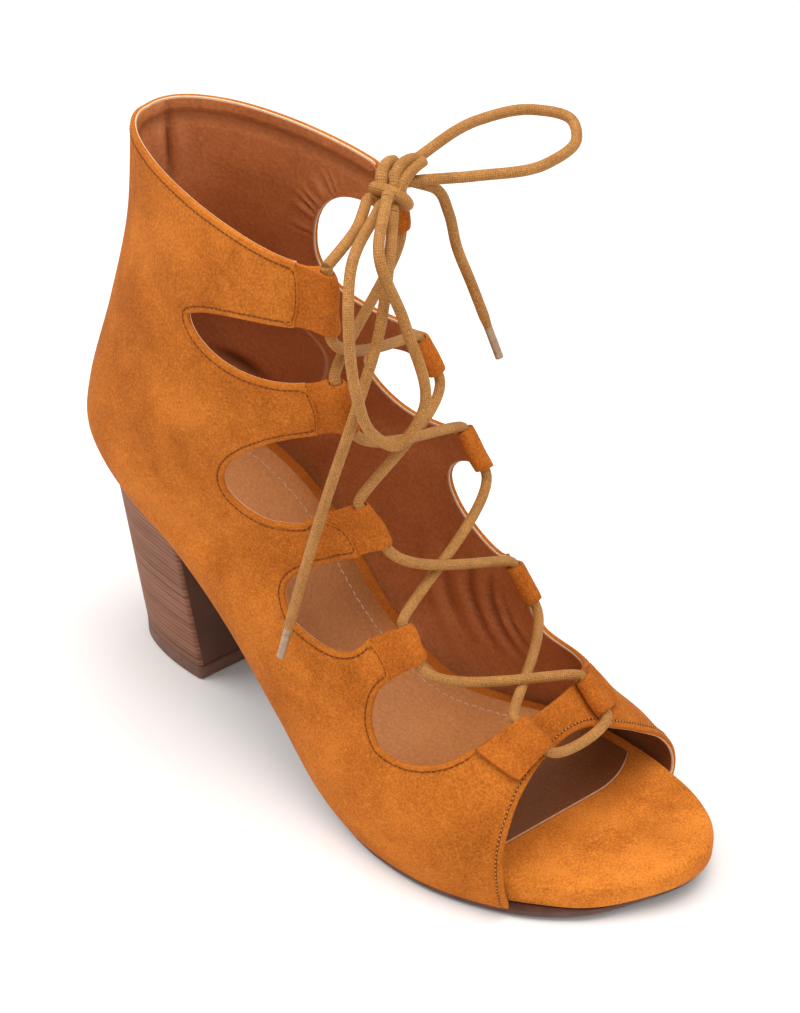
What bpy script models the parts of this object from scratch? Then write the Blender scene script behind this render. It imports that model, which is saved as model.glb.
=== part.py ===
"""Open-toe ankle boot, right shoe: comb-cut suede upper, lace loops and lace, footbed, sole and block heel.

The shoe is worked out in its own millimetres: x runs from the back of the heel to the toe, y is medial (the
lateral side is negative) and z is up from the floor. The empty "boot" moves it to its footprint's middle.
"""
import math

import bmesh
import bpy
import numpy as np
from mathutils import Vector
from mathutils.geometry import delaunay_2d_cdt

MM = 0.001
GAP = 0.3
FEATHER_GAP = 0.6

# Driving sizes of the shoe, in millimetres
FOOTPRINT_CENTRE = (104.22, -2.72)
HEEL_END = 0.0
TOE_END = 219.0
TOE_SKEW = 4.0
WALL = 2.0
SOLE_THICK = 3.0
LACE = 3.2

# Heel, in millimetres: where its flat breast stands on each side, its floor face and the wear lift
BREAST_X = {-1: 39.2, 1: 50.2}
HEEL_FLOOR_BACK = 3.0
HEEL_FLOOR_CENTRE = 4.0
HEEL_FLOOR_HALF = 22.3
HEEL_INSET = 0.6
LIFT_THICK = 5.5
LIFT_GROOVE = 0.5
LIFT_CHAMFER = 0.6
HEEL_FLOOR_SQUARE = 0.62

# Footbed and sock liner, in millimetres
BOARD_THICK_HEEL = 7.5
BOARD_THICK_WAIST = 5.0
BOARD_THICK_TOE = 8.5
BOARD_EDGE = 4.0
BOARD_EDGE_COVERED = 0.8
BOARD_CHAMFER = 0.5
BOARD_ROUND = ((0.0, 0.45), (0.3, 0.12), (1.0, 0.0))
BOARD_HEEL_RAMP = (50.0, 90.0)
BOARD_RAMP = (95.0, 150.0)
BOARD_HEEL_ROOM = 1.5
HEEL_ROOM_RAMP = (30.0, 60.0)
BARE_RAMP = {-1: (184.0, 208.0), 1: (191.0, 213.0)}
SOCK_THICK = 1.0
SOCK_MARGIN = 4.2
SOCK_FRONT = 174.3
SOCK_SKEW = 0.25
SOCK_ROUND_FROM = 12.0
SOCK_ROUND = 0.018
SOCK_FRONT_STEPS = 10
SOLE_TUCK_WAIST = 1.4
SOLE_TUCK_BALL = 0.4
SOLE_TUCK_TOE = 1.6
SOLE_TUCK_RAMPS = ((104.0, 150.0), (200.0, 215.0))
SOLE_CHAMFER = 1.8
SOLE_CHAMFER_RISE = 1.3

# Lace loops, in millimetres
LOOP_SKIN = 1.1
LOOP_GAP = 1.0
TUNNEL = LACE + 0.7
LOOP_ROUND = TUNNEL / 2 + LOOP_SKIN
LOOP_BASE = WALL / 2 + 0.35
BRIDGE_CLEARANCE = 0.8
LOOP_TURN = 115.0
LOOP_HOLE_TURN = 165.0

# Lace runs between the loops, in millimetres: clear of the loops, pulled straight out of the upper loop, of the
# lower one and of the loops of the toe bar, and how much of its thickness one run lies over the other
LACE_CLEAR = 0.6
LACE_PULL_HIGH = 12.0
LACE_PULL_LOW = 3.5
LACE_PULL_BAR = 4.5
CROSS_SHARE = 0.8

# Bow of the lace, in millimetres: the knot, and the points that each free cord runs through
KNOT_CENTRE = (92.0, 14.5, 193.0)
KNOT_HALF = (6.2, 5.8, 4.8)
CORDS = {
    "lace_riser_lateral": ((99.4, -22.4, 187.2), (98.4, -15.0, 188.8), (95.0, -4.0, 189.4), (89.5, 7.0, 191.0)),
    "bow_loop_up": ((92.3, 22.3, 197.0), (97.5, 47.0, 202.0), (107.0, 60.5, 203.0), (117.0, 65.0, 201.5),
                    (122.5, 60.0, 199.0), (121.0, 48.0, 196.0), (108.0, 33.0, 194.0), (98.0, 23.0, 193.5)),
    "bow_loop_down": ((94.5, 6.5, 191.0), (105.0, -19.0, 186.0), (110.9, -26.8, 172.0), (114.2, -27.4, 154.0),
                      (116.5, -24.0, 141.0), (120.0, -16.6, 134.0), (123.3, -9.8, 143.0), (115.6, -8.2, 168.0),
                      (108.5, -11.0, 188.5), (98.0, 5.0, 195.5)),
    "lace_end_lateral": ((97.8, 8.3, 189.3), (104.0, -0.9, 182.0), (109.6, -12.7, 164.0), (110.9, -22.8, 148.0),
                         (107.2, -32.8, 118.0), (102.0, -39.4, 86.0), (98.3, -43.7, 62.0)),
    "lace_end_medial": ((94.4, 22.3, 191.6), (98.3, 27.2, 188.6), (100.0, 30.8, 180.0), (101.5, 33.2, 168.0),
                        (105.5, 35.5, 156.0), (113.5, 39.6, 132.0)),
}

# How finely the curves are cut
NOTCH_STEPS = 10
COLLAR_STEPS = 13
SEAM_STEPS = 10
FOOT_STEPS = 32
TOE_STEPS = 26
OUTLINE_STEPS = 40
HEEL_STEPS = 9
HEEL_RINGS = 7
BREAST_PARTS = (0.25, 0.5, 0.75)
LOOP_STEPS = 10
BRIDGE_STEPS = 6
TUBE_SIDES = 8
LACE_STEPS = 12
CORD_STEP = 7.0
BRIDGE_BOW = 0.25
FOOT_CROWDING = 1.3
SKEW_ROWS = 3.0
SHARP_ANGLE = 40.0
ROW_LENGTH = 16.0
HALF_GIRTH = 110.0
PATTERN_SPACING = (8.0, 8.5)
PATTERN_KEEP_OFF = 4.5
SOLE_SPACING = (5.2, 15.0)
SOLE_KEEP_OFF = 4.0
KNOT_SEGMENTS = (14, 9)
CORD_ROUND = 2
HALVINGS = 40
SMALL_STEP = 0.01

# Colours, as linear red, green and blue, with roughness
FINISHES = {
    "suede": ((0.50, 0.15, 0.016), 0.95),
    "leatherette": ((0.42, 0.16, 0.075), 0.60),
    "sole": ((0.17, 0.075, 0.05), 0.55),
    "stacked": ((0.16, 0.075, 0.045), 0.50),
    "cord": ((0.44, 0.23, 0.06), 0.85),
}

# Sole plan and side view, a row for each station along the shoe
# lateral and medial are half-widths of the feather edge, seat is the height of the feather edge
SOLE_COLUMNS = ("x", "lateral", "medial", "seat")
SOLE_STATIONS = (
    (0.0, -4.0, 4.0, 71.0),
    (4.0, 15.2, 17.0, 71.0),
    (14.0, 22.4, 24.5, 70.0),
    (36.0, 26.9, 30.4, 64.0),
    (60.0, 29.4, 30.8, 47.5),
    (86.0, 34.0, 27.5, 25.0),
    (110.0, 40.3, 29.0, 8.5),
    (132.0, 44.6, 35.5, 3.2),
    (152.0, 45.3, 40.0, 3.0),
    (176.0, 39.4, 40.0, 3.0),
    (197.0, 26.8, 34.5, 4.1),
    (210.0, 11.8, 25.8, 5.8),
    (219.0, -8.0, 8.0, 7.7),
)

# Sections of the upper, fanned out from the collar to the toe opening
# back is where a section starts on the back seam, or on the sole at the feather height where back_z is None
# front is its point on the instep line, the half-widths are its largest on each side of the line between them
# full is how square its shoulders are, and forward moves the widest place of each side towards the instep
SECTION_COLUMNS = ("back_x", "back_y", "back_z", "front_x", "front_y", "front_z",
                   "lateral", "medial", "full", "lateral_forward", "medial_forward")
SECTIONS = (
    (6.2, 5.0, 194.8, 107.0, -5.0, 189.0, 27.8, 28.6, 0.20, 0.30, 0.30),
    (5.4, 5.0, 165.0, 108.0, -4.0, 168.0, 32.2, 29.2, 0.20, 0.20, 0.20),
    (-1.4, 5.0, 135.0, 111.0, -2.0, 151.0, 37.0, 31.0, 0.15, 0.10, 0.08),
    (-8.8, 4.5, 106.0, 115.5, 0.0, 136.0, 40.0, 34.0, 0.15, -0.05, 0.08),
    (-9.6, 4.0, 88.0, 121.0, 2.0, 122.0, 40.0, 35.8, 0.15, -0.15, 0.20),
    (0.0, 4.0, None, 126.0, 3.0, 110.0, 38.8, 37.4, 0.15, -0.15, 0.08),
    (5.0, 4.0, None, 130.5, 3.0, 100.0, 37.8, 37.2, 0.15, -0.05, 0.25),
    (20.0, 2.0, None, 136.0, 2.5, 89.0, 37.5, 36.0, 0.15, 0.0, 0.32),
    (46.0, 0.0, None, 142.0, 2.0, 77.5, 38.5, 36.5, 0.15, 0.0, 0.15),
    (72.0, -2.0, None, 149.0, 1.0, 67.5, 39.5, 37.0, 0.15, 0.0, 0.05),
    (98.0, -3.0, None, 156.0, 0.5, 60.5, 42.0, 38.5, 0.15, 0.0, 0.0),
    (124.0, -3.0, None, 163.5, 0.0, 54.0, 45.0, 40.5, 0.15, 0.0, 0.0),
    (148.0, -2.0, None, 171.5, 0.0, 48.5, 45.5, 42.0, 0.15, 0.0, 0.0),
    (168.0, 0.0, None, 179.0, 0.0, 43.5, 43.5, 42.0, 0.15, 0.0, -0.16),
    (184.0, 1.0, None, 184.0, 0.0, 40.0, 40.0, 40.5, 0.15, 0.0, -0.35),
)


# Straps of the comb on the lateral (-1) and the medial (+1) side, from the collar down
# A strap ends at its joint, and its lace loop reaches on to the fold; rows are section numbers, reach is 0 on
# the instep line and 1 at the sole
STRAP_COLUMNS = ("joint_top", "joint_end", "joint_reach",
                 "fold_top", "fold_top_reach", "fold_end", "fold_end_reach")
STRAPS = {
    -1: (
        (0.07, 0.92, 0.245, 0.20, 0.132, 1.09, 0.132),
        (1.91, 2.87, 0.230, 1.95, 0.140, 2.90, 0.140),
        (4.75, 6.10, 0.295, 4.65, 0.200, 5.85, 0.200),
        (8.10, 8.87, 0.383, 7.80, 0.250, 8.60, 0.250),
        (10.96, 12.40, 0.290, 11.12, 0.107, 12.28, 0.107),
    ),
    1: (
        (0.00, 0.60, 0.360, 0.00, 0.275, 0.66, 0.245),
        (2.50, 3.15, 0.320, 2.62, 0.235, 3.28, 0.205),
        (4.95, 6.15, 0.300, 4.62, 0.195, 5.75, 0.195),
        (8.40, 9.40, 0.383, 8.32, 0.262, 9.28, 0.275),
        (11.30, 12.65, 0.280, 11.50, 0.100, 12.70, 0.085),
    ),
}

# Notches between the straps: the back of each, how round its edges are and how far the lower one bellies out
NOTCH_COLUMNS = ("back_row", "back_reach", "upper_round", "lower_round", "lower_belly")
NOTCHES = {
    -1: (
        (1.32, 0.505, 1.60, 1.65, 0.05),
        (4.25, 0.438, 2.00, 2.40, 0.35),
        (7.95, 0.578, 1.50, 2.20, 0.30),
        (10.00, 0.537, 1.45, 1.50, 0.05),
    ),
    1: (
        (1.54, 0.532, 2.40, 2.30, 0.05),
        (3.85, 0.455, 2.00, 2.40, 0.20),
        (7.80, 0.530, 1.60, 2.40, 0.15),
        (10.30, 0.500, 1.50, 1.50, 0.05),
    ),
}

# Top edge of the upper, lower at the back seam and the lateral front, from the lateral to the medial side
COLLAR_COLUMNS = ("reach", "row")
COLLAR_EDGE = (
    (-1.00, 0.07),
    (-0.86, 0.04),
    (-0.70, 0.00),
    (-0.45, 0.02),
    (-0.20, 0.08),
    (0.20, 0.00),
    (0.70, 0.00),
    (0.88, 0.03),
    (1.00, 0.07),
)

# Front edge of the upper over the open toe, from the lateral to the medial side
TOE_EDGE_COLUMNS = ("reach", "row")
TOE_EDGE = (
    (-1.00, 14.00),
    (-0.75, 13.70),
    (-0.50, 13.15),
    (-0.30, 12.65),
    (-0.15, 12.40),
    (0.00, 12.45),
    (0.10, 12.75),
    (0.20, 13.35),
    (0.35, 13.85),
    (0.60, 14.00),
    (1.00, 14.00),
)


def column(table, names, name):
    """One named column of a table, as an array."""
    return np.array([np.nan if row[names.index(name)] is None else row[names.index(name)] for row in table])


def smooth(knots, values, at):
    """A smooth curve through the values at the knots, read at the given places."""
    slopes = np.gradient(values, knots)
    at = np.clip(at, knots[0], knots[-1])
    i = np.clip(np.searchsorted(knots, at) - 1, 0, len(knots) - 2)
    span = knots[i + 1] - knots[i]
    s = (at - knots[i]) / span
    rise = values[i + 1] - values[i]
    start = slopes[i] * span
    end = slopes[i + 1] * span
    return values[i] + s * (start + s * (3 * rise - 2 * start - end + s * (start + end - 2 * rise)))


def along_sole(x):
    """Angle that runs from 0 at the heel end to pi at the toe end, so that both ends come out round."""
    return np.arccos(np.clip(1 - 2 * (x - HEEL_END) / (TOE_END - HEEL_END), -1, 1))


SOLE_X = column(SOLE_STATIONS, SOLE_COLUMNS, "x")
SOLE_ANGLE = along_sole(SOLE_X)


def feather(x, side):
    """Half-width of the sole at x, on the lateral (-1) or the medial (+1) side."""
    name = "lateral" if side < 0 else "medial"
    return smooth(SOLE_ANGLE, column(SOLE_STATIONS, SOLE_COLUMNS, name), along_sole(x))


def seat(x):
    """Height of the feather edge at x, level under the ball of the foot."""
    return np.maximum(smooth(SOLE_X, column(SOLE_STATIONS, SOLE_COLUMNS, "seat"), x), SOLE_THICK)


ROWS = np.arange(len(SECTIONS), dtype=float)
TOE_ROW = ROWS[-1]
LAST_STRAP = len(STRAPS[1]) - 1


def section(row, name):
    """A column of the section table at a row number, whole or in between."""
    values = column(SECTIONS, SECTION_COLUMNS, name)
    if name == "back_z":
        on_sole = seat(column(SECTIONS, SECTION_COLUMNS, "back_x")) + FEATHER_GAP
        values = np.where(np.isnan(values), on_sole, values)
    return smooth(ROWS, values, row)


SEAT_ROW = float(np.argmax(np.isnan(column(SECTIONS, SECTION_COLUMNS, "back_z"))))


def bow_out(angle, full, forward):
    """Share of a section's largest half-width at an angle that runs from 0 at its back to pi at its front."""
    turned = angle - forward * np.sin(angle)
    return np.sin(turned) * (1 + full * np.cos(turned) ** 2)


def start_angle(share, full, forward):
    """Angle at which a section reaches the given share of its largest half-width."""
    low = np.zeros_like(share)
    high = np.full_like(share, math.pi / 2)
    for _ in range(HALVINGS):
        middle = (low + high) / 2
        less = bow_out(middle, full, forward) < share
        low = np.where(less, middle, low)
        high = np.where(less, high, middle)
    return low


def upper_point(row, reach):
    """Point of the upper's outer face. Reach is 0 on the instep line, -1 and +1 at the two feather edges."""
    row, reach = np.broadcast_arrays(np.asarray(row, float), np.asarray(reach, float))
    side = np.where(reach < 0, -1.0, 1.0)
    toe_share = np.clip((row - TOE_ROW + SKEW_ROWS) / SKEW_ROWS, 0, 1) ** 2
    back_x = section(row, "back_x") + side * TOE_SKEW * toe_share * np.abs(reach)
    on_sole = row >= SEAT_ROW
    back_z = np.where(on_sole, seat(back_x) + FEATHER_GAP, section(row, "back_z"))
    width = np.where(side < 0, section(row, "lateral"), section(row, "medial"))
    full = section(row, "full")
    forward = np.where(side < 0, section(row, "lateral_forward"), section(row, "medial_forward"))
    back_y = section(row, "back_y")
    edge = np.where(side < 0, feather(back_x, -1) + back_y, feather(back_x, 1) - back_y)
    share = np.where(on_sole, np.clip(edge / width, 0, 1), 0.0)
    first = start_angle(share, full, forward)
    angle = math.pi + (first - math.pi) * np.abs(reach)
    rise = (np.cos(first) - np.cos(angle)) / (np.cos(first) + 1)
    x = back_x + rise * (section(row, "front_x") - back_x)
    y = back_y + rise * (section(row, "front_y") - back_y) + side * width * bow_out(angle, full, forward)
    z = back_z + rise * (section(row, "front_z") - back_z)
    return np.stack([x, y, z], -1)


def upper_normal(row, reach):
    """Outward unit normal of the upper's outer face."""
    row, reach = np.broadcast_arrays(np.asarray(row, float), np.asarray(reach, float))
    step = SMALL_STEP
    down = upper_point(np.minimum(row + step, TOE_ROW), reach) - upper_point(np.maximum(row - step, 0), reach)
    side = np.where(reach < 0, -1.0, 1.0)
    inner = side * np.maximum(np.abs(reach) - step, 0)
    outer = side * np.minimum(np.abs(reach) + step, 1)
    around = side[..., None] * (upper_point(row, outer) - upper_point(row, inner))
    normal = np.cross(down, around)
    return normal / np.linalg.norm(normal, axis=-1, keepdims=True)


def wall_frame(row, reach):
    """Middle of the upper's wall and its outward normal at one place."""
    normal = upper_normal(row, reach)
    return upper_point(row, reach) - normal * WALL / 2, normal


# Pattern of the upper, as an outline of rows and reaches

def notch_edge(corner_row, corner_reach, notch, upper):
    """One edge of a notch, from the strap's corner to just before the back of the notch."""
    names = dict(zip(NOTCH_COLUMNS, notch))
    power = names["upper_round"] if upper else names["lower_round"]
    belly = 0.0 if upper else names["lower_belly"]
    turn = np.linspace(math.pi / 2, 0, NOTCH_STEPS + 1)[:-1]
    share = 1 - np.cos(turn) ** (2 / power)
    curve = np.sin(turn) ** (2 / power)
    reach = names["back_reach"] + share * (corner_reach - names["back_reach"])
    row = names["back_row"] + curve * (corner_row - names["back_row"]) + belly * 4 * share * (1 - share)
    return list(zip(row, reach))


def comb_edge(side):
    """Throat edge of one side, from the collar down to the bridge, with positive reaches."""
    points = []
    for number, strap in enumerate(STRAPS[side]):
        names = dict(zip(STRAP_COLUMNS, strap))
        reach = names["joint_reach"]
        if number > 0:
            notch = NOTCHES[side][number - 1]
            back = dict(zip(NOTCH_COLUMNS, notch))
            points.append((back["back_row"], back["back_reach"]))
            points += notch_edge(names["joint_top"], reach, notch, False)[::-1]
        if number < len(NOTCHES[side]):
            middle = (names["joint_top"] + names["joint_end"]) / 2
            if number == 0:
                points.append((names["joint_top"], reach))
            points.append((middle, reach))
            points += notch_edge(names["joint_end"], reach, NOTCHES[side][number], True)
    return points


def collar_edge(reach):
    """Row of the upper's top edge at a reach."""
    knots = column(COLLAR_EDGE, COLLAR_COLUMNS, "reach")
    return np.maximum(smooth(knots, column(COLLAR_EDGE, COLLAR_COLUMNS, "row"), reach), 0)


def toe_edge(reach):
    """Row of the upper's front edge at a reach."""
    knots = column(TOE_EDGE, TOE_EDGE_COLUMNS, "reach")
    return smooth(knots, column(TOE_EDGE, TOE_EDGE_COLUMNS, "row"), reach)


def pattern_outline():
    """Closed outline of the upper's pattern, cut open along the back seam."""
    half = {}
    for side in (-1, 1):
        comb = comb_edge(side)
        reaches = np.linspace(1, comb[0][1], COLLAR_STEPS + 1)[:-1]
        collar = [(float(collar_edge(side * reach)), reach) for reach in reaches]
        half[side] = [(row, side * reach) for row, reach in collar + comb]
    (row_a, reach_a), (row_b, reach_b) = half[-1][-1], half[1][-1]
    bridge = []
    for share in np.linspace(0, 1, BRIDGE_STEPS + 1)[1:-1]:
        row = row_a + share * (row_b - row_a) + BRIDGE_BOW * 4 * share * (1 - share)
        bridge.append((row, reach_a + share * (reach_b - reach_a)))
    seam = [(row, 1.0) for row in np.linspace(0, SEAT_ROW, SEAM_STEPS + 1)[1:]]
    shares = np.linspace(0, 1, FOOT_STEPS + 1)[1:] ** FOOT_CROWDING
    foot = [(row, 1.0) for row in SEAT_ROW + (TOE_ROW - SEAT_ROW) * shares]
    toe = [(float(toe_edge(reach)), reach) for reach in np.linspace(1, -1, TOE_STEPS + 1)[1:-1]]
    back = [(row, -reach) for row, reach in foot[::-1] + seam[:-1][::-1]]
    return half[-1] + bridge + half[1][::-1] + seam + foot + toe + back


def flat_pattern(points):
    """Rows and reaches laid out flat, in rough millimetres."""
    return np.asarray(points, float) * np.array([ROW_LENGTH, HALF_GIRTH])


def inside(points, outline):
    """True for each point that lies inside the closed outline."""
    x, y = points[:, 0:1], points[:, 1:2]
    x0, y0 = outline[:, 0], outline[:, 1]
    x1, y1 = np.roll(x0, -1), np.roll(y0, -1)
    with np.errstate(divide="ignore", invalid="ignore"):
        crossed = ((y0 > y) != (y1 > y)) & (x < (x1 - x0) * (y - y0) / (y1 - y0) + x0)
    return crossed.sum(axis=1) % 2 == 1


def fill_outline(outline, spacing, keep_off):
    """Triangles that fill a flat outline, with grid points kept off its edge."""
    low, high = outline.min(axis=0), outline.max(axis=0)
    across = np.arange(low[0] + spacing[0] / 2, high[0], spacing[0])
    along = np.arange(low[1] + spacing[1] / 2, high[1], spacing[1])
    grid = np.stack(np.meshgrid(across, along, indexing="ij"), -1).reshape(-1, 2)
    grid = grid[inside(grid, outline)]
    start, end = outline, np.roll(outline, -1, axis=0)
    edge = end - start
    share = np.einsum("pek,ek->pe", grid[:, None] - start, edge) / np.maximum((edge * edge).sum(axis=1), 1e-9)
    nearest = start + np.clip(share, 0, 1)[..., None] * edge
    distance = np.linalg.norm(grid[:, None] - nearest, axis=-1).min(axis=1)
    points = np.concatenate([outline, grid[distance > keep_off]])
    count = len(outline)
    edges = [(i, (i + 1) % count) for i in range(count)]
    made = delaunay_2d_cdt([Vector(point) for point in points], edges, [], 1, 1e-5)
    return np.array([tuple(point) for point in made[0]]), made[2], made[3]


# Objects

def add_mesh(name, points, faces, finish):
    """A named object from points in shoe millimetres, with its own material."""
    mesh = bpy.data.meshes.new(name)
    mesh.from_pydata([tuple(float(value) * MM for value in point) for point in points], [], faces)
    mesh.shade_smooth()
    mesh.set_sharp_from_angle(angle=math.radians(SHARP_ANGLE))
    thing = bpy.data.objects.new(name, mesh)
    return place(thing, finish)


def place(thing, finish):
    """Gives an object its material and hangs it on the boot."""
    colour, roughness = FINISHES[finish]
    material = bpy.data.materials.new(thing.name)
    material.use_nodes = True
    shader = material.node_tree.nodes["Principled BSDF"]
    shader.inputs["Base Color"].default_value = (*colour, 1.0)
    shader.inputs["Roughness"].default_value = roughness
    shader.inputs["Metallic"].default_value = 0.0
    thing.data.materials.append(material)
    bpy.context.scene.collection.objects.link(thing)
    thing.parent = BOOT
    return thing


def ring_solid(name, rings, bottom, top, finish):
    """A closed solid from equal rings of points, bottom ring first, capped by height functions of x."""
    points = [tuple(point) for ring in rings for point in ring]
    count = len(rings[0])
    faces = []
    for level in range(len(rings) - 1):
        for i in range(count):
            a = level * count + i
            b = level * count + (i + 1) % count
            faces.append((a, b, b + count, a + count))
    for first, height, flip in ((0, bottom, True), ((len(rings) - 1) * count, top, False)):
        ring = np.array(points[first:first + count])[:, :2]
        flat, cap, origins = fill_outline(ring, SOLE_SPACING, SOLE_KEEP_OFF)
        index = []
        for point, origin in zip(flat, origins):
            known = [i for i in origin if i < count]
            if known:
                index.append(first + known[0])
            else:
                index.append(len(points))
                points.append((point[0], point[1], float(height(point[0]))))
        for face in cap:
            corners = [index[i] for i in face]
            faces.append(tuple(corners[::-1] if flip else corners))
    return add_mesh(name, points, faces, finish)


def inset(outline, distance):
    """A closed plan outline, counterclockwise from above, moved inwards."""
    step = np.roll(outline, -1, axis=0) - outline
    step /= np.linalg.norm(step, axis=1, keepdims=True)
    along = step + np.roll(step, 1, axis=0)
    inward = np.stack([-along[:, 1], along[:, 0]], -1) / np.linalg.norm(along, axis=1, keepdims=True)
    return outline + inward * np.reshape(distance, (-1, 1))


def sock_front(y):
    """Front edge of the sock liner: straight, and round at its medial end."""
    return SOCK_FRONT + SOCK_SKEW * y - SOCK_ROUND * np.maximum(y - SOCK_ROUND_FROM, 0) ** 2


def behind(outline, front):
    """The part of a plan outline behind a front edge, which is a function of y."""
    ahead = outline[:, 0] - front(outline[:, 1])
    kept = []
    for i in range(len(outline)):
        j = (i + 1) % len(outline)
        if ahead[i] < 0:
            kept.append(outline[i])
        if (ahead[i] < 0) == (ahead[j] < 0):
            continue
        place = outline[i] + (outline[j] - outline[i]) * ahead[i] / (ahead[i] - ahead[j])
        if ahead[j] < 0:
            across = np.linspace(kept[-1][1], place[1], SOCK_FRONT_STEPS + 1)[1:-1]
            kept += [np.array([front(y), y]) for y in across]
        kept.append(place)
    return np.array(kept)


def raised(outline, height):
    """A plan outline lifted to a height function of x."""
    return np.column_stack([outline, height(outline[:, 0])])


def sole_outline(start, end):
    """Plan of the sole between two places on each side, counterclockwise from above, starting lateral."""
    sides = []
    for side in (-1, 1):
        first, last = along_sole(np.array([start[side], end[side]]))
        x = HEEL_END + (TOE_END - HEEL_END) * (1 - np.cos(np.linspace(first, last, OUTLINE_STEPS + 1))) / 2
        sides.append(np.column_stack([x, side * feather(x, side)]))
    lateral, medial = sides
    joined = np.concatenate([lateral, medial[::-1]])
    apart = np.linalg.norm(joined - np.roll(joined, 1, axis=0), axis=1) > SMALL_STEP
    return joined[apart]


def ease(x, start, end):
    """0 before start, 1 after end, smooth between."""
    share = np.clip((x - start) / (end - start), 0, 1)
    return share * share * (3 - 2 * share)


# Sole, heel, footbed and sock liner

def sole_bottom(x):
    """Underside of the outsole."""
    return seat(x) - SOLE_THICK


def make_outsole():
    """Thin sole from the heel breast to the toe, tucked under the upper and least of all at the ball."""
    plan = sole_outline({side: BREAST_X[side] + 2 * GAP for side in (-1, 1)}, {-1: TOE_END, 1: TOE_END})
    ball, toe = (ease(plan[:, 0], *ramp) for ramp in SOLE_TUCK_RAMPS)
    outline = inset(plan, SOLE_TUCK_WAIST + (SOLE_TUCK_BALL - SOLE_TUCK_WAIST) * ball
                    + (SOLE_TUCK_TOE - SOLE_TUCK_BALL) * toe)
    rings = [raised(inset(outline, SOLE_CHAMFER), sole_bottom),
             raised(outline, lambda x: sole_bottom(x) + SOLE_CHAMFER_RISE),
             raised(outline, seat)]
    return ring_solid("outsole", rings, sole_bottom, seat, "sole")


def heel_ring(share):
    """Outline of the heel, from 0 under the heel seat to 1 on the floor, medial breast corner first."""
    points = []
    turn = np.linspace(-1, 1, 2 * HEEL_STEPS + 1)
    for v in turn[::-1]:
        side = -1 if v < 0 else 1
        run = 1 - math.cos(math.pi / 2 * abs(v))
        wide = math.sin(math.pi / 2 * abs(v))
        top_x = HEEL_INSET + run * (BREAST_X[side] - HEEL_INSET)
        top_y = side * (float(feather(top_x, side)) - HEEL_INSET * wide)
        floor_x = HEEL_FLOOR_BACK + run * (BREAST_X[side] - HEEL_FLOOR_BACK)
        floor_y = HEEL_FLOOR_CENTRE + side * HEEL_FLOOR_HALF * wide ** HEEL_FLOOR_SQUARE
        points.append((top_x + share * (floor_x - top_x), top_y + share * (floor_y - top_y)))
    lateral, medial = np.array(points[-1]), np.array(points[0])
    points += [tuple(lateral + (medial - lateral) * part) for part in BREAST_PARTS]
    return np.array(points)


def heel_seat(x):
    """Top of the heel block."""
    return seat(x) - GAP


def make_heel():
    """Heel block with its flat breast, and the wear lift under it."""
    floor = LIFT_THICK + GAP
    rings = []
    for share in np.linspace(1, 0, HEEL_RINGS):
        ring = heel_ring(share)
        high = heel_seat(ring[:, 0])
        rings.append(np.column_stack([ring, floor + (high - floor) * (1 - share)]))
    groove = inset(rings[0][:, :2], LIFT_GROOVE)
    rings[0] = np.column_stack([groove, np.full(len(groove), floor)])
    lip = heel_ring(1.0)
    rings.insert(1, np.column_stack([lip, np.full(len(lip), floor + LIFT_GROOVE)]))
    ring_solid("heel_block", rings, lambda x: floor, heel_seat, "stacked")
    levels = ((LIFT_CHAMFER, 0.0), (0.0, LIFT_CHAMFER),
              (0.0, LIFT_THICK - LIFT_GROOVE), (LIFT_GROOVE, LIFT_THICK))
    rings = [np.column_stack([inset(lip, back), np.full(len(lip), z)]) for back, z in levels]
    ring_solid("heel_top_lift", rings, lambda x: 0.0, lambda x: LIFT_THICK, "sole")


def board_bottom(x):
    """Underside of the footbed."""
    return seat(x) + GAP


def board_top(x):
    """Top of the footbed, padded under the heel and thicker under the toes."""
    heel = (BOARD_THICK_HEEL - BOARD_THICK_WAIST) * (1 - ease(x, *BOARD_HEEL_RAMP))
    toe = (BOARD_THICK_TOE - BOARD_THICK_WAIST) * ease(x, *BOARD_RAMP)
    return board_bottom(x) + BOARD_THICK_WAIST + heel + toe


def bare_share(outline):
    """1 where the footbed's edge is bare at the open toe, 0 where the upper covers it."""
    return np.where(outline[:, 1] < 0, ease(outline[:, 0], *BARE_RAMP[-1]), ease(outline[:, 0], *BARE_RAMP[1]))


def board_outline():
    """Plan of the footbed: inside the upper's wall, and full where the toe is open."""
    outline = sole_outline({-1: HEEL_END, 1: HEEL_END}, {-1: TOE_END, 1: TOE_END})
    room = WALL + 4 * GAP + BOARD_HEEL_ROOM * (1 - ease(outline[:, 0], *HEEL_ROOM_RAMP))
    return inset(outline, room - (WALL + 3 * GAP) * bare_share(outline))


def make_footbed():
    """Footbed, thick at the open toe, where its upper edge is rounded."""
    outline = board_outline()
    rings = [raised(inset(outline, BOARD_CHAMFER), board_bottom),
             raised(outline, lambda x: board_bottom(x) + BOARD_CHAMFER)]
    edge = BOARD_EDGE_COVERED + (BOARD_EDGE - BOARD_EDGE_COVERED) * bare_share(outline)
    share = edge / BOARD_EDGE
    for back, drop in BOARD_ROUND:
        ring = inset(outline, back * edge)
        high = board_top(ring[:, 0])
        rings.append(np.column_stack([ring, high - drop * share * (high - board_bottom(ring[:, 0]))]))
    return ring_solid("footbed", rings, board_bottom, board_top, "suede")


def make_insole():
    """Sock liner from the heel to its front edge behind the open toe."""
    outline = behind(inset(board_outline(), SOCK_MARGIN), sock_front)
    rings = [raised(outline, lambda x: board_top(x) + 2 * GAP),
             raised(outline, lambda x: board_top(x) + 2 * GAP + SOCK_THICK)]
    return ring_solid("insole", rings, lambda x: board_top(x) + 2 * GAP,
                      lambda x: board_top(x) + 2 * GAP + SOCK_THICK, "leatherette")


# Upper

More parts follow.
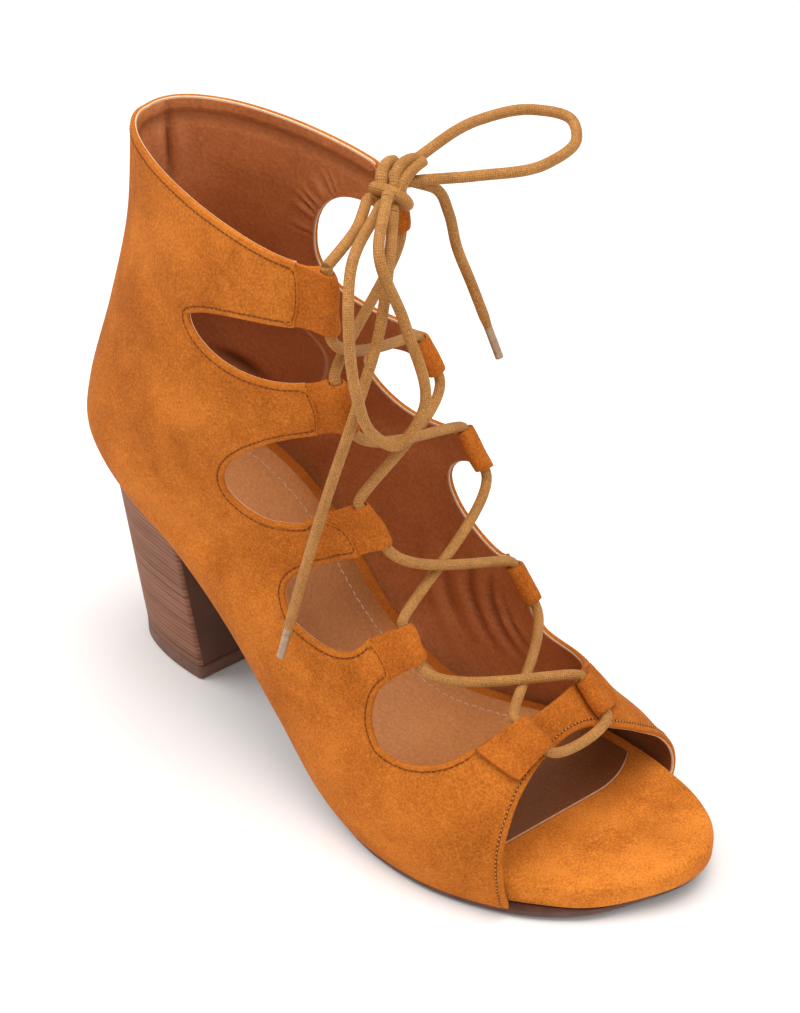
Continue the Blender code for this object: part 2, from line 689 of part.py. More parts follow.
def make_upper():
    """One hollow wall: the pattern wrapped on the last, and again one wall thickness further in."""
    flat, faces, _ = fill_outline(flat_pattern(pattern_outline()), PATTERN_SPACING, PATTERN_KEEP_OFF)
    row, reach = (flat / np.array([ROW_LENGTH, HALF_GIRTH])).T
    row = np.clip(row, 0, TOE_ROW)
    reach = np.where(np.abs(reach) > 1 - 1e-5, np.sign(reach), reach)
    outer = upper_point(row, reach)
    normal = upper_normal(row, reach)
    feather_line = (np.abs(reach) == 1) & (row > SEAT_ROW - 1e-4)
    normal[feather_line, 2] = 0
    seam = (np.abs(reach) == 1) & (row < SEAT_ROW + 1e-4)
    normal[seam, 1] = 0
    normal /= np.linalg.norm(normal, axis=1, keepdims=True)
    partner = {round(float(row[i]), 3): i for i in np.nonzero(seam & (reach > 0))[0]}
    weld = np.arange(len(flat))
    for i in np.nonzero(seam & (reach < 0))[0]:
        weld[i] = partner[round(float(row[i]), 3)]
    count = len(flat)
    points = np.concatenate([outer, outer - normal * WALL])
    skin = []
    for face in faces:
        corners = [int(weld[i]) for i in face]
        a, b, c = outer[corners[:3]]
        outward = np.dot(np.cross(b - a, c - a), normal[corners].mean(axis=0)) > 0
        skin.append(corners if outward else corners[::-1])
    edges = {}
    for corners in skin:
        for i, j in zip(corners, corners[1:] + corners[:1]):
            edges[(i, j)] = True
    rim = [(j, i, i + count, j + count) for i, j in edges if (j, i) not in edges]
    lining = [[i + count for i in corners[::-1]] for corners in skin]
    used = sorted({i for face in skin + lining for i in face})
    renumber = {old: new for new, old in enumerate(used)}
    all_faces = [tuple(renumber[i] for i in face) for face in skin + lining + rim]
    return add_mesh("upper", points[used], all_faces, "suede")


# Lace loops and lace

def loop_frame(number, side):
    """Two ends of a lace loop, top end first: its joint, two directions and length, in the wall's middle."""
    names = dict(zip(STRAP_COLUMNS, STRAPS[side][number]))
    ends = []
    for end in ("top", "end"):
        joint, normal = wall_frame(names["joint_" + end], side * names["joint_reach"])
        fold, _ = wall_frame(names["fold_" + end], side * names["fold_%s_reach" % end])
        along = fold - joint
        length = np.linalg.norm(along)
        along = along / length
        out = normal - along * np.dot(normal, along)
        ends.append((joint, along, out / np.linalg.norm(out), length))
    return ends


def loop_lift(number):
    """Height of a loop's middle over the wall's middle: only the last loops lie higher, on the bridge."""
    on_bridge = number == LAST_STRAP
    return WALL / 2 + BRIDGE_CLEARANCE + LOOP_ROUND if on_bridge else 0.0


def tunnel(number, side):
    """Middle of a loop's lace tunnel at its top and at its lower end."""
    middles = []
    for joint, along, out, length in loop_frame(number, side):
        middles.append(joint + along * (length - LOOP_ROUND) + out * loop_lift(number))
    return middles


def make_loop(number, side):
    """A folded strip that ends in a round tunnel."""
    base_middle = loop_lift(number) - (LOOP_ROUND - LOOP_BASE if loop_lift(number) else 0.0)
    turns = np.radians(np.linspace(LOOP_TURN, -LOOP_TURN, LOOP_STEPS))
    hole_turns = np.concatenate([[math.radians(LOOP_HOLE_TURN)], turns, [-math.radians(LOOP_HOLE_TURN)]])
    points = []
    for joint, along, out, length in loop_frame(number, side):
        centre = joint + along * (length - LOOP_ROUND) + out * loop_lift(number)
        rim = [joint + along * LOOP_GAP + out * (base_middle + LOOP_BASE)]
        rim += [centre + LOOP_ROUND * (along * math.cos(t) + out * math.sin(t)) for t in turns]
        rim += [joint + along * LOOP_GAP + out * (base_middle - LOOP_BASE)]
        hole = [centre + TUNNEL / 2 * (along * math.cos(t) + out * math.sin(t)) for t in hole_turns]
        points += rim + hole
    count = len(hole_turns)
    outer_a, hole_a, outer_b, hole_b = (np.arange(count) + count * i for i in range(4))
    faces = []
    for i in range(count):
        j = (i + 1) % count
        faces.append((outer_a[i], outer_a[j], outer_b[j], outer_b[i]))
        faces.append((hole_a[j], hole_a[i], hole_b[i], hole_b[j]))
        faces.append((outer_a[j], outer_a[i], hole_a[i], hole_a[j]))
        faces.append((outer_b[i], outer_b[j], hole_b[j], hole_b[i]))
    faces = [tuple(int(i) for i in face) for face in faces]
    if side < 0:
        faces = [face[::-1] for face in faces]
    name = "lace_loop_%s_%d" % ("lateral" if side < 0 else "medial", number + 1)
    return add_mesh(name, points, faces, "suede")


def bezier(start, start_pull, end_pull, end, steps):
    """Points of one cubic curve."""
    s = np.linspace(0, 1, steps + 1)[:, None]
    first = (1 - s) ** 3 * start + 3 * s * (1 - s) ** 2 * start_pull
    return first + 3 * s * s * (1 - s) * end_pull + s ** 3 * end


def tube(path):
    """Points and faces of a round cord along a path."""
    path = np.asarray(path)
    along = np.gradient(path, axis=0)
    along /= np.linalg.norm(along, axis=1, keepdims=True)
    across = np.cross(along[0], [0.3, 0.2, 1.0])
    points, faces = [], []
    for centre, direction in zip(path, along):
        across = across - direction * np.dot(across, direction)
        across /= np.linalg.norm(across)
        other = np.cross(direction, across)
        for turn in np.arange(TUBE_SIDES) * 2 * math.pi / TUBE_SIDES:
            points.append(centre + LACE / 2 * (across * math.cos(turn) + other * math.sin(turn)))
    for level in range(len(path) - 1):
        for i in range(TUBE_SIDES):
            a = level * TUBE_SIDES + i
            b = level * TUBE_SIDES + (i + 1) % TUBE_SIDES
            faces.append((a, b, b + TUBE_SIDES, a + TUBE_SIDES))
    faces.append(tuple(range(TUBE_SIDES))[::-1])
    faces.append(tuple(range(len(points) - TUBE_SIDES, len(points))))
    return points, faces


def lace_run(low, low_end, high, high_end, low_pull, high_pull):
    """Path of the lace between two loops: each has its top and lower place, the end it leaves and a pull."""
    start, start_back = low[low_end], low[1 - low_end]
    end, end_back = high[high_end], high[1 - high_end]
    leave = (start - start_back) / np.linalg.norm(start - start_back)
    enter = (end - end_back) / np.linalg.norm(end - end_back)
    start = start + leave * LACE_CLEAR
    end = end + enter * LACE_CLEAR
    return bezier(start, start + leave * low_pull, end + enter * high_pull, end, LACE_STEPS)


def crossing_runs(number):
    """The two runs of lace between one pair of loops and the next, the first over the second."""
    high = {side: tunnel(number, side) for side in (-1, 1)}
    low = {side: tunnel(number + 1, side) for side in (-1, 1)}
    over = lace_run(low[1], 0, high[-1], 1, LACE_PULL_LOW, LACE_PULL_HIGH)
    under = lace_run(low[-1], 0, high[1], 1, LACE_PULL_LOW, LACE_PULL_HIGH)
    rows = [STRAPS[side][pair][0] for side in (-1, 1) for pair in (number, number + 1)]
    out = upper_normal(sum(rows) / len(rows), 0.0)
    apart = over[:, None] - under
    sideways = np.linalg.norm(apart - (apart @ out)[..., None] * out, axis=-1)
    i, j = np.unravel_index(np.argmin(sideways), sideways.shape)
    lift = (CROSS_SHARE * LACE - apart[i, j] @ out) / 2 * out
    hump = np.sin(np.linspace(0, math.pi, LACE_STEPS + 1))
    return over + np.outer(hump / hump[i], lift), under - np.outer(hump / hump[j], lift)


def make_crossing(number):
    """Two runs of lace joined where they cross."""
    over, under = crossing_runs(number)
    crossing = add_mesh("lace_crossing_%d" % (number + 1), *tube(over), "cord")
    other = add_mesh("crossing_under_%d" % (number + 1), *tube(under), "cord")
    other.hide_render = True
    other.display_type = "WIRE"
    union = crossing.modifiers.new("joined", "BOOLEAN")
    union.operation = "UNION"
    union.object = other


def make_toe_bar():
    """Run of lace across the bridge between the two lowest loops."""
    path = lace_run(tunnel(LAST_STRAP, -1), 1, tunnel(LAST_STRAP, 1), 1, LACE_PULL_BAR, LACE_PULL_BAR)
    add_mesh("lace_toe_bar", *tube(path), "cord")


def make_knot():
    """Knot of the bow, as one rounded lump."""
    lump = bmesh.new()
    bmesh.ops.create_uvsphere(lump, u_segments=KNOT_SEGMENTS[0], v_segments=KNOT_SEGMENTS[1], radius=1.0)
    points = [np.array(vertex.co) * KNOT_HALF + KNOT_CENTRE for vertex in lump.verts]
    lump.verts.index_update()
    faces = [tuple(vertex.index for vertex in face.verts) for face in lump.faces]
    lump.free()
    add_mesh("lace_knot", points, faces, "cord")


def make_cord(name, route):
    """A free round cord through its route."""
    route = np.array(route)
    knots = np.concatenate([[0], np.cumsum(np.linalg.norm(np.diff(route, axis=0), axis=1))])
    at = np.linspace(0, knots[-1], round(knots[-1] / CORD_STEP) + 1)
    points = np.stack([smooth(knots, route[:, axis], at) for axis in range(3)], -1) * MM
    curve = bpy.data.curves.new(name, "CURVE")
    curve.dimensions = "3D"
    curve.bevel_depth = LACE / 2 * MM
    curve.bevel_resolution = CORD_ROUND
    curve.use_fill_caps = True
    spline = curve.splines.new("POLY")
    spline.points.add(len(points) - 1)
    for place_on, point in zip(spline.points, points):
        place_on.co = (*point, 1.0)
    place(bpy.data.objects.new(name, curve), "cord")


# The shoe

for old in list(bpy.data.objects):
    bpy.data.objects.remove(old, do_unlink=True)
BOOT = bpy.data.objects.new("boot", None)
BOOT.location = (-FOOTPRINT_CENTRE[0] * MM, -FOOTPRINT_CENTRE[1] * MM, 0)
bpy.context.scene.collection.objects.link(BOOT)

make_outsole()
make_heel()
make_footbed()
make_insole()
make_upper()
for strap in range(LAST_STRAP + 1):
    for flank in (-1, 1):
        make_loop(strap, flank)
for pair in range(LAST_STRAP):
    make_crossing(pair)
make_toe_bar()
make_knot()
for cord_name, cord_route in CORDS.items():
    make_cord(cord_name, cord_route)
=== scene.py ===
"""Looks of the open-toe ankle boot, right shoe: suede, lining, stitching, lace loops, lace, footbed and heel.

Shapes are worked out in the shoe's own millimetres, as in the solids: x runs from the heel to the toe, y is
medial and z is up. row_frame moves them to the middle of the footprint, in metres.
"""
import math

import bpy
import numpy as np
from mathutils import Matrix, Vector, kdtree
from mathutils.bvhtree import BVHTree
from mathutils.geometry import delaunay_2d_cdt


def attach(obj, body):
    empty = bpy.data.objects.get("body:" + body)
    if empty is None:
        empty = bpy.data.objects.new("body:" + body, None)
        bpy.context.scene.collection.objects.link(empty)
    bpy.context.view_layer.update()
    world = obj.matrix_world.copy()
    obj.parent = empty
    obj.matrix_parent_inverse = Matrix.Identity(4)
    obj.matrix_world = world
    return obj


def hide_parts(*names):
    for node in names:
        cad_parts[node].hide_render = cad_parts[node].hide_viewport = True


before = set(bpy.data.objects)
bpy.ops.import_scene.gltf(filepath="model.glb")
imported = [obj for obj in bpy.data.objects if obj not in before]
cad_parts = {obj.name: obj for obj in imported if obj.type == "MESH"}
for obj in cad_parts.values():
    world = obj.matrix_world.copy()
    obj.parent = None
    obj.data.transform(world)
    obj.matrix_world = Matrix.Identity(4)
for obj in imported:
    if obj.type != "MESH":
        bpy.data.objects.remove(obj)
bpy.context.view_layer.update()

MM = 0.001
GAP = 0.3
FEATHER_GAP = 0.6
FOOTPRINT_CENTRE = np.array([104.22, -2.72, 0.0])

# Camera at the photograph's place, aimed at the one shoe: degrees, millimetres and pixels
CAMERA_AZIMUTH = 38.298
CAMERA_ELEVATION = 37.952
CAMERA_ROLL = 0.706
CAMERA_DISTANCE = 686.9
CAMERA_TARGET = (106.8, 1.5, 95.0)
FOCAL_PIXELS = 2305.0
PHOTO_HEIGHT = 1013
SENSOR = 36.0
CLIP_START = 0.05

# Studio, in metres: floor, background and area lights, each with its place, size and power
FLOOR_HALF = 6.0
PAPER = (0.93, 0.905, 0.885)
WORLD_COLOUR = (1.0, 1.0, 1.0, 1.0)
WORLD_STRENGTH = 0.64
LIGHT_AIM = (0.0, 0.0, 0.08)
LIGHTS = {
    "key": ((-0.85, -0.55, 1.10), 0.9, 9.0),
    "top": ((0.20, 0.1, 1.35), 1.0, 11.5),
    "front": ((0.9, -0.4, 0.8), 0.7, 1.2),
}

# Driving sizes of the shoe: millimetres, apart from shares, counts and turns in degrees
HEEL_END = 0.0
TOE_END = 219.0
TOE_SKEW = 4.0
WALL = 2.0
SOLE_THICK = 3.0
LACE = 3.2
BREAST_X = {-1: 39.2, 1: 50.2}
HEEL_FLOOR_BACK = 3.0
HEEL_FLOOR_CENTRE = 4.0
HEEL_FLOOR_HALF = 22.3
HEEL_FLOOR_SQUARE = 0.62
HEEL_CORNER = 1.3
HEEL_CORNER_TURNS = (0, 30, 60, 90)
HEEL_INSET = 0.6
HEEL_LEVELS = 7
BREAST_SHARES = (0.25, 0.5, 0.75)
BREAST_STEP = 5.0
LIFT_THICK = 5.5
LIFT_GROOVE = 0.5
LIFT_CHAMFER = 0.6
BOARD_THICK_HEEL = 7.5
BOARD_THICK_WAIST = 5.0
BOARD_THICK_TOE = 8.5
BOARD_CHAMFER = 0.5
BOARD_EDGE = 4.0
BOARD_EDGE_COVERED = 0.8
BOARD_EDGE_DROP = 0.5
BOARD_EDGE_TURNS = (0, 25, 45, 62, 76, 90)
BOARD_HEEL_RAMP = (50.0, 90.0)
BOARD_RAMP = (95.0, 150.0)
BOARD_HEEL_ROOM = 1.5
HEEL_ROOM_RAMP = (30.0, 60.0)
BARE_RAMP = {-1: (184.0, 208.0), 1: (191.0, 213.0)}
SOCK_MARGIN = 4.2
SOCK_FRONT = 174.3
SOCK_SKEW = 0.25
SOCK_ROUND_FROM = 12.0
SOCK_ROUND = 0.018
SOCK_FRONT_STEPS = 24
SOCK_UNDER = 0.12
SOCK_SHOWN = 0.65
SOCK_CHAMFER = 0.3
# Painted shade on the sock liner: its ramp in x under the upper's closed front, and its band on the steep arch:
# middle, width and strength
SOCK_SHADE_UNDER_FRONT = (132.0, 158.0)
SOCK_ARCH = 77.0
SOCK_ARCH_WIDE = 16.0
SOCK_ARCH_PAINTED_SHADE = 0.5
SOCK_SEAM_IN = 6.5
SOCK_SEAM_END = 150.0
WORN_BAND = (1.0, 13.0)
WORN_BAND_SHARE = 0.85
WORN_SPOT = (203.0, 8.0)
WORN_SPOT_WIDE = 6.5
WORN_SPOT_SHARE = 0.55
SOLE_TUCK_WAIST = 1.4
SOLE_TUCK_BALL = 0.4
SOLE_TUCK_TOE = 1.6
SOLE_TUCK_RAMPS = ((104.0, 150.0), (200.0, 215.0))
LOOP_SKIN = 1.1
TUNNEL = LACE + 0.7
LOOP_ROUND = TUNNEL / 2 + LOOP_SKIN
BRIDGE_CLEARANCE = 0.8
BRIDGE_BOW = 0.25
LACE_CLEAR = 0.6
LACE_PULL_HIGH = 12.0
LACE_PULL_LOW = 3.5
LACE_PULL_BAR = 4.5
CROSS_SHARE = 0.8
LACE_STEPS = 24
LACE_STEP = 1.2
ROUTE_STEP = 2.0
TUNNEL_SHARES = (0.15, 0.38, 0.62, 0.85)
TIP_LENGTH = 11.0
TIP_RADIUS = 1.30
TIP_SKIN = 0.06
TIP_TAPER = (-4.0, 1.0)
TIP_PAST = 0.3
BRAID_STRANDS = 9
BRAID_PITCH = 1.35

# Rings of the outsole, in millimetres: how far in from its outline, and how high over its underside
SOLE_RINGS = ((1.8, 0.0), (0.15, 1.2), (0.0, 1.5), (0.0, 2.6), (0.3, 3.0))

# Sole plan and side view, a row for each station along the shoe
SIDE_NAMES = {-1: "lateral", 1: "medial"}
SOLE_COLUMNS = ("x", "lateral", "medial", "seat")
SOLE_STATIONS = (
    (0.0, -4.0, 4.0, 71.0),
    (4.0, 15.2, 17.0, 71.0),
    (14.0, 22.4, 24.5, 70.0),
    (36.0, 26.9, 30.4, 64.0),
    (60.0, 29.4, 30.8, 47.5),
    (86.0, 34.0, 27.5, 25.0),
    (110.0, 40.3, 29.0, 8.5),
    (132.0, 44.6, 35.5, 3.2),
    (152.0, 45.3, 40.0, 3.0),
    (176.0, 39.4, 40.0, 3.0),
    (197.0, 26.8, 34.5, 4.1),
    (210.0, 11.8, 25.8, 5.8),
    (219.0, -8.0, 8.0, 7.7),
)

# Sections of the upper, fanned out from the collar to the toe opening
SECTION_COLUMNS = ("back_x", "back_y", "back_z", "front_x", "front_y", "front_z",
                   "lateral", "medial", "full", "lateral_forward", "medial_forward")
SECTIONS = (
    (6.2, 5.0, 194.8, 107.0, -5.0, 189.0, 27.8, 28.6, 0.20, 0.30, 0.30),
    (5.4, 5.0, 165.0, 108.0, -4.0, 168.0, 32.2, 29.2, 0.20, 0.20, 0.20),
    (-1.4, 5.0, 135.0, 111.0, -2.0, 151.0, 37.0, 31.0, 0.15, 0.10, 0.08),
    (-8.8, 4.5, 106.0, 115.5, 0.0, 136.0, 40.0, 34.0, 0.15, -0.05, 0.08),
    (-9.6, 4.0, 88.0, 121.0, 2.0, 122.0, 40.0, 35.8, 0.15, -0.15, 0.20),
    (0.0, 4.0, None, 126.0, 3.0, 110.0, 38.8, 37.4, 0.15, -0.15, 0.08),
    (5.0, 4.0, None, 130.5, 3.0, 100.0, 37.8, 37.2, 0.15, -0.05, 0.25),
    (20.0, 2.0, None, 136.0, 2.5, 89.0, 37.5, 36.0, 0.15, 0.0, 0.32),
    (46.0, 0.0, None, 142.0, 2.0, 77.5, 38.5, 36.5, 0.15, 0.0, 0.15),
    (72.0, -2.0, None, 149.0, 1.0, 67.5, 39.5, 37.0, 0.15, 0.0, 0.05),
    (98.0, -3.0, None, 156.0, 0.5, 60.5, 42.0, 38.5, 0.15, 0.0, 0.0),
    (124.0, -3.0, None, 163.5, 0.0, 54.0, 45.0, 40.5, 0.15, 0.0, 0.0),
    (148.0, -2.0, None, 171.5, 0.0, 48.5, 45.5, 42.0, 0.15, 0.0, 0.0),
    (168.0, 0.0, None, 179.0, 0.0, 43.5, 43.5, 42.0, 0.15, 0.0, -0.16),
    (184.0, 1.0, None, 184.0, 0.0, 40.0, 40.0, 40.5, 0.15, 0.0, -0.35),
)

# Straps of the comb on the lateral (-1) and medial (+1) side, from the collar down, and the notches
STRAP_COLUMNS = ("joint_top", "joint_end", "joint_reach",
                 "fold_top", "fold_top_reach", "fold_end", "fold_end_reach")
STRAPS = {
    -1: (
        (0.07, 0.92, 0.245, 0.20, 0.132, 1.09, 0.132),
        (1.91, 2.87, 0.230, 1.95, 0.140, 2.90, 0.140),
        (4.75, 6.10, 0.295, 4.65, 0.200, 5.85, 0.200),
        (8.10, 8.87, 0.383, 7.80, 0.250, 8.60, 0.250),
        (10.96, 12.40, 0.290, 11.12, 0.107, 12.28, 0.107),
    ),
    1: (
        (0.00, 0.60, 0.360, 0.00, 0.275, 0.66, 0.245),
        (2.50, 3.15, 0.320, 2.62, 0.235, 3.28, 0.205),
        (4.95, 6.15, 0.300, 4.62, 0.195, 5.75, 0.195),
        (8.40, 9.40, 0.383, 8.32, 0.262, 9.28, 0.275),
        (11.30, 12.65, 0.280, 11.50, 0.100, 12.70, 0.085),
    ),
}
NOTCH_COLUMNS = ("back_row", "back_reach", "upper_round", "lower_round", "lower_belly")
NOTCHES = {
    -1: (
        (1.32, 0.505, 1.60, 1.65, 0.05),
        (4.25, 0.438, 2.00, 2.40, 0.35),
        (7.95, 0.578, 1.50, 2.20, 0.30),
        (10.00, 0.537, 1.45, 1.50, 0.05),
    ),
    1: (
        (1.54, 0.532, 2.40, 2.30, 0.05),
        (3.85, 0.455, 2.00, 2.40, 0.20),
        (7.80, 0.530, 1.60, 2.40, 0.15),
        (10.30, 0.500, 1.50, 1.50, 0.05),
    ),
}

# Top edge of the upper, lower at the back seam and the lateral front, from the lateral to the medial side
EDGE_COLUMNS = ("reach", "row")
COLLAR_EDGE = (
    (-1.00, 0.07),
    (-0.86, 0.04),
    (-0.70, 0.00),
    (-0.45, 0.02),
    (-0.20, 0.08),
    (0.20, 0.00),
    (0.70, 0.00),
    (0.88, 0.03),
    (1.00, 0.07),
)

# Front edge of the upper over the open toe, from the lateral to the medial side
TOE_EDGE = (
    (-1.00, 14.00),
    (-0.75, 13.70),
    (-0.50, 13.15),
    (-0.30, 12.65),
    (-0.15, 12.40),
    (0.00, 12.45),
    (0.10, 12.75),
    (0.20, 13.35),
    (0.35, 13.85),
    (0.60, 14.00),
    (1.00, 14.00),
)

# Bow of the lace, in millimetres: the knot, and the points that each free cord runs through
KNOT_CENTRE = np.array([92.0, 14.5, 193.0])
KNOT_AXES = np.array([[0.81, 0.59, 0.0], [-0.35, 0.48, 0.80], [0.47, -0.65, 0.60]])
KNOT_HEART = (0.5, 0.5, 0.0)
KNOT_LOW = (0.2, -4.6, 0.6)
KNOT_PULL = 0.35
KNOT_REACH = 0.4
KNOT_STEP = 0.8
KNOT_CURVE_STEPS = 12

# Turns of the knot in its own directions: across, up and out
KNOT_TURNS = (
    ((-4.4, -0.6, 0.0), (-3.4, -1.2, 3.2), (0.0, -2.2, 4.6), (3.4, -3.8, 3.4), (4.6, -5.0, 0.4),
     (3.4, -4.0, -2.6), (0.0, -2.2, -3.4), (-3.2, -1.0, -2.6), (-4.4, -0.6, 0.0)),
    ((-2.2, -2.0, 1.8), (-2.6, 1.2, 3.0), (-2.4, 4.0, 2.2), (-1.0, 6.4, 0.2), (0.4, 7.2, -2.4)),
    ((1.8, -3.0, 2.2), (1.2, 0.2, 3.6), (1.6, 3.6, 3.4), (3.2, 6.2, 2.2), (5.4, 7.6, 0.4),
     (7.4, 8.0, -1.8)),
    ((2.6, -2.4, 3.0), (3.4, 0.4, 3.8), (4.8, 3.0, 3.0), (6.6, 5.4, 1.2), (8.6, 7.4, -1.0)),
)
KNOT_THICK = (1.95, 1.85, 1.75, 1.65)
CORDS = {
    "lace_riser_lateral": ((99.4, -22.4, 187.2), (98.4, -15.0, 188.8), (95.0, -4.0, 189.4), (89.5, 7.0, 191.0)),
    "bow_loop_up": ((92.3, 22.3, 197.0), (97.5, 47.0, 202.0), (107.0, 60.5, 203.0), (117.0, 65.0, 201.5),
                    (122.5, 60.0, 199.0), (121.0, 48.0, 196.0), (108.0, 33.0, 194.0), (98.0, 23.0, 193.5)),
    "bow_loop_down": ((94.5, 6.5, 191.0), (105.0, -19.0, 186.0), (110.9, -26.8, 172.0), (114.2, -27.4, 154.0),
                      (116.5, -24.0, 141.0), (120.0, -16.6, 134.0), (123.3, -9.8, 143.0), (115.6, -8.2, 168.0),
                      (108.5, -11.0, 188.5), (98.0, 5.0, 195.5)),
    "lace_end_lateral": ((97.8, 8.3, 189.3), (104.0, -0.9, 182.0), (109.6, -12.7, 164.0), (110.9, -22.8, 148.0),
                         (107.2, -32.8, 118.0), (102.0, -39.4, 86.0), (98.3, -43.7, 62.0)),
    "lace_end_medial": ((94.4, 22.3, 191.6), (98.3, 27.2, 188.6), (100.0, 30.8, 180.0), (101.5, 33.2, 168.0),
                        (105.5, 35.5, 156.0), (113.5, 39.6, 132.0)),
}

# Stitching, in millimetres: how far in from each kind of edge, how it is rounded, and the bow of a strap's end
STITCH_OFFSET = {"collar": 1.4, "notch": 1.25, "toe": 1.35, "joint": 0.45}
STITCH_ROUND = 1.6
STITCH_STEP = 0.5
STITCH_CLEAR = 0.9
JOINT_BOW = 1.3

# One stitch: place along it, lift and thickness, in shares of its length and radius
STITCH_SHAPE = ((-0.5, -0.25, 0.35), (-0.36, 0.25, 0.9), (0.0, 0.55, 1.0), (0.36, 0.25, 0.9),
                (0.5, -0.25, 0.35))
STITCH_SIDES = 6
STITCH_AHEAD = 0.3

# Seams that run on from one kind of edge to the next
SEAM_GROUPS = {"collar": "comb", "joint": "comb", "notch": "comb", "toe": "toe"}

# Stitches: seam, thread, pitch, length and radius in millimetres, and a shift as a share of the pitch
SEAMS = {
    "quarter_stitches": ("comb", "dark", 1.8, 1.4, 0.17, 0.0),
    "vamp_holes": ("toe", "dark", 1.4, 0.75, 0.24, 0.0),
    "vamp_stitches": ("toe", "golden", 1.4, 0.60, 0.17, 0.5),
}

# Stitches of the sock liner: pitch, length and radius in millimetres, and slant
SOCK_STITCH = (2.6, 1.9, 0.24, 0.25)

# Cut edge of the upper, in millimetres: how far out, how deep, and the material of the strip before it
RIM_LEVELS = ((0.30, 0.10, 0), (0.52, 0.40, 0), (0.58, 0.95, 0), (0.50, 1.40, 0), (0.36, 1.72, 1),
              (-0.20, 1.95, 2))
RIM_AT_JOINT = 0.3

# How finely the curves are cut
NOTCH_STEPS = 26
COLLAR_STEPS = 60
JOINT_STEPS = 10
SEAM_STEPS = 60
FOOT_STEPS = 110
TOE_STEPS = 90
OUTLINE_STEPS = 90
HEEL_STEPS = 36
TUBE_SIDES = 20
ROW_LENGTH = 16.0
HALF_GIRTH = 110.0
PATTERN_SCALE = np.array([ROW_LENGTH, HALF_GIRTH])
PATTERN_SPACING = (1.4, 1.4)
PATTERN_KEEP_OFF = 0.9
SOLE_SPACING = (5.0, 5.0)
SOLE_KEEP_OFF = 3.0
FOOT_SPREAD = 1.3
NORMAL_STEP = 0.01
SAME_POINT = 0.01
MERGE_NEAR = 1e-5
SEAM_NEAR = 1e-4


# Curves and surfaces of the last

def unit(vectors):
    """Vectors brought to length 1."""
    return vectors / np.linalg.norm(vectors, axis=-1, keepdims=True)


def run_lengths(path):
    """Distance along a path at each of its points."""
    return np.concatenate([[0], np.cumsum(np.linalg.norm(np.diff(path, axis=0), axis=1))])


def column(table, names, name):
    """One named column of a table, as an array."""
    return np.array([np.nan if row[names.index(name)] is None else row[names.index(name)] for row in table])


def smooth(knots, values, at):
    """A smooth curve through the values at the knots, read at the given places."""
    slopes = np.gradient(values, knots)
    at = np.clip(at, knots[0], knots[-1])
    i = np.clip(np.searchsorted(knots, at) - 1, 0, len(knots) - 2)
    span = knots[i + 1] - knots[i]
    s = (at - knots[i]) / span
    rise = values[i + 1] - values[i]
    start = slopes[i] * span
    end = slopes[i + 1] * span
    return values[i] + s * (start + s * (3 * rise - 2 * start - end + s * (start + end - 2 * rise)))


def ease(x, start, end):
    """0 before start, 1 after end, smooth between."""
    share = np.clip((np.asarray(x, float) - start) / (end - start), 0, 1)
    return share * share * (3 - 2 * share)


def along_sole(x):
    """Angle that runs from 0 at the heel end to pi at the toe end, so that both ends come out round."""
    return np.arccos(np.clip(1 - 2 * (x - HEEL_END) / (TOE_END - HEEL_END), -1, 1))


SOLE_X = column(SOLE_STATIONS, SOLE_COLUMNS, "x")
SOLE_ANGLE = along_sole(SOLE_X)
ROWS = np.arange(len(SECTIONS), dtype=float)
TOE_ROW = ROWS[-1]
LAST_STRAP = len(STRAPS[1]) - 1
SEAT_ROW = float(np.argmax(np.isnan(column(SECTIONS, SECTION_COLUMNS, "back_z"))))


def feather(x, side):
    """Half-width of the sole at x, on the lateral (-1) or the medial (+1) side."""
    return smooth(SOLE_ANGLE, column(SOLE_STATIONS, SOLE_COLUMNS, SIDE_NAMES[side]), along_sole(x))


def seat(x):
    """Height of the feather edge at x, level under the ball of the foot."""
    return np.maximum(smooth(SOLE_X, column(SOLE_STATIONS, SOLE_COLUMNS, "seat"), x), SOLE_THICK)


def section(row, name):
    """A column of the section table at a row number, whole or in between."""
    values = column(SECTIONS, SECTION_COLUMNS, name)
    if name == "back_z":
        on_sole = seat(column(SECTIONS, SECTION_COLUMNS, "back_x")) + FEATHER_GAP
        values = np.where(np.isnan(values), on_sole, values)
    return smooth(ROWS, values, row)


def bow_out(angle, full, forward):
    """Share of a section's largest half-width at an angle that runs from 0 at its back to pi at its front."""
    turned = angle - forward * np.sin(angle)
    return np.sin(turned) * (1 + full * np.cos(turned) ** 2)


def start_angle(share, full, forward):
    """Angle at which a section reaches the given share of its largest half-width."""
    low = np.zeros_like(share)
    high = np.full_like(share, math.pi / 2)
    for _ in range(40):
        middle = (low + high) / 2
        less = bow_out(middle, full, forward) < share
        low = np.where(less, middle, low)
        high = np.where(less, high, middle)
    return low


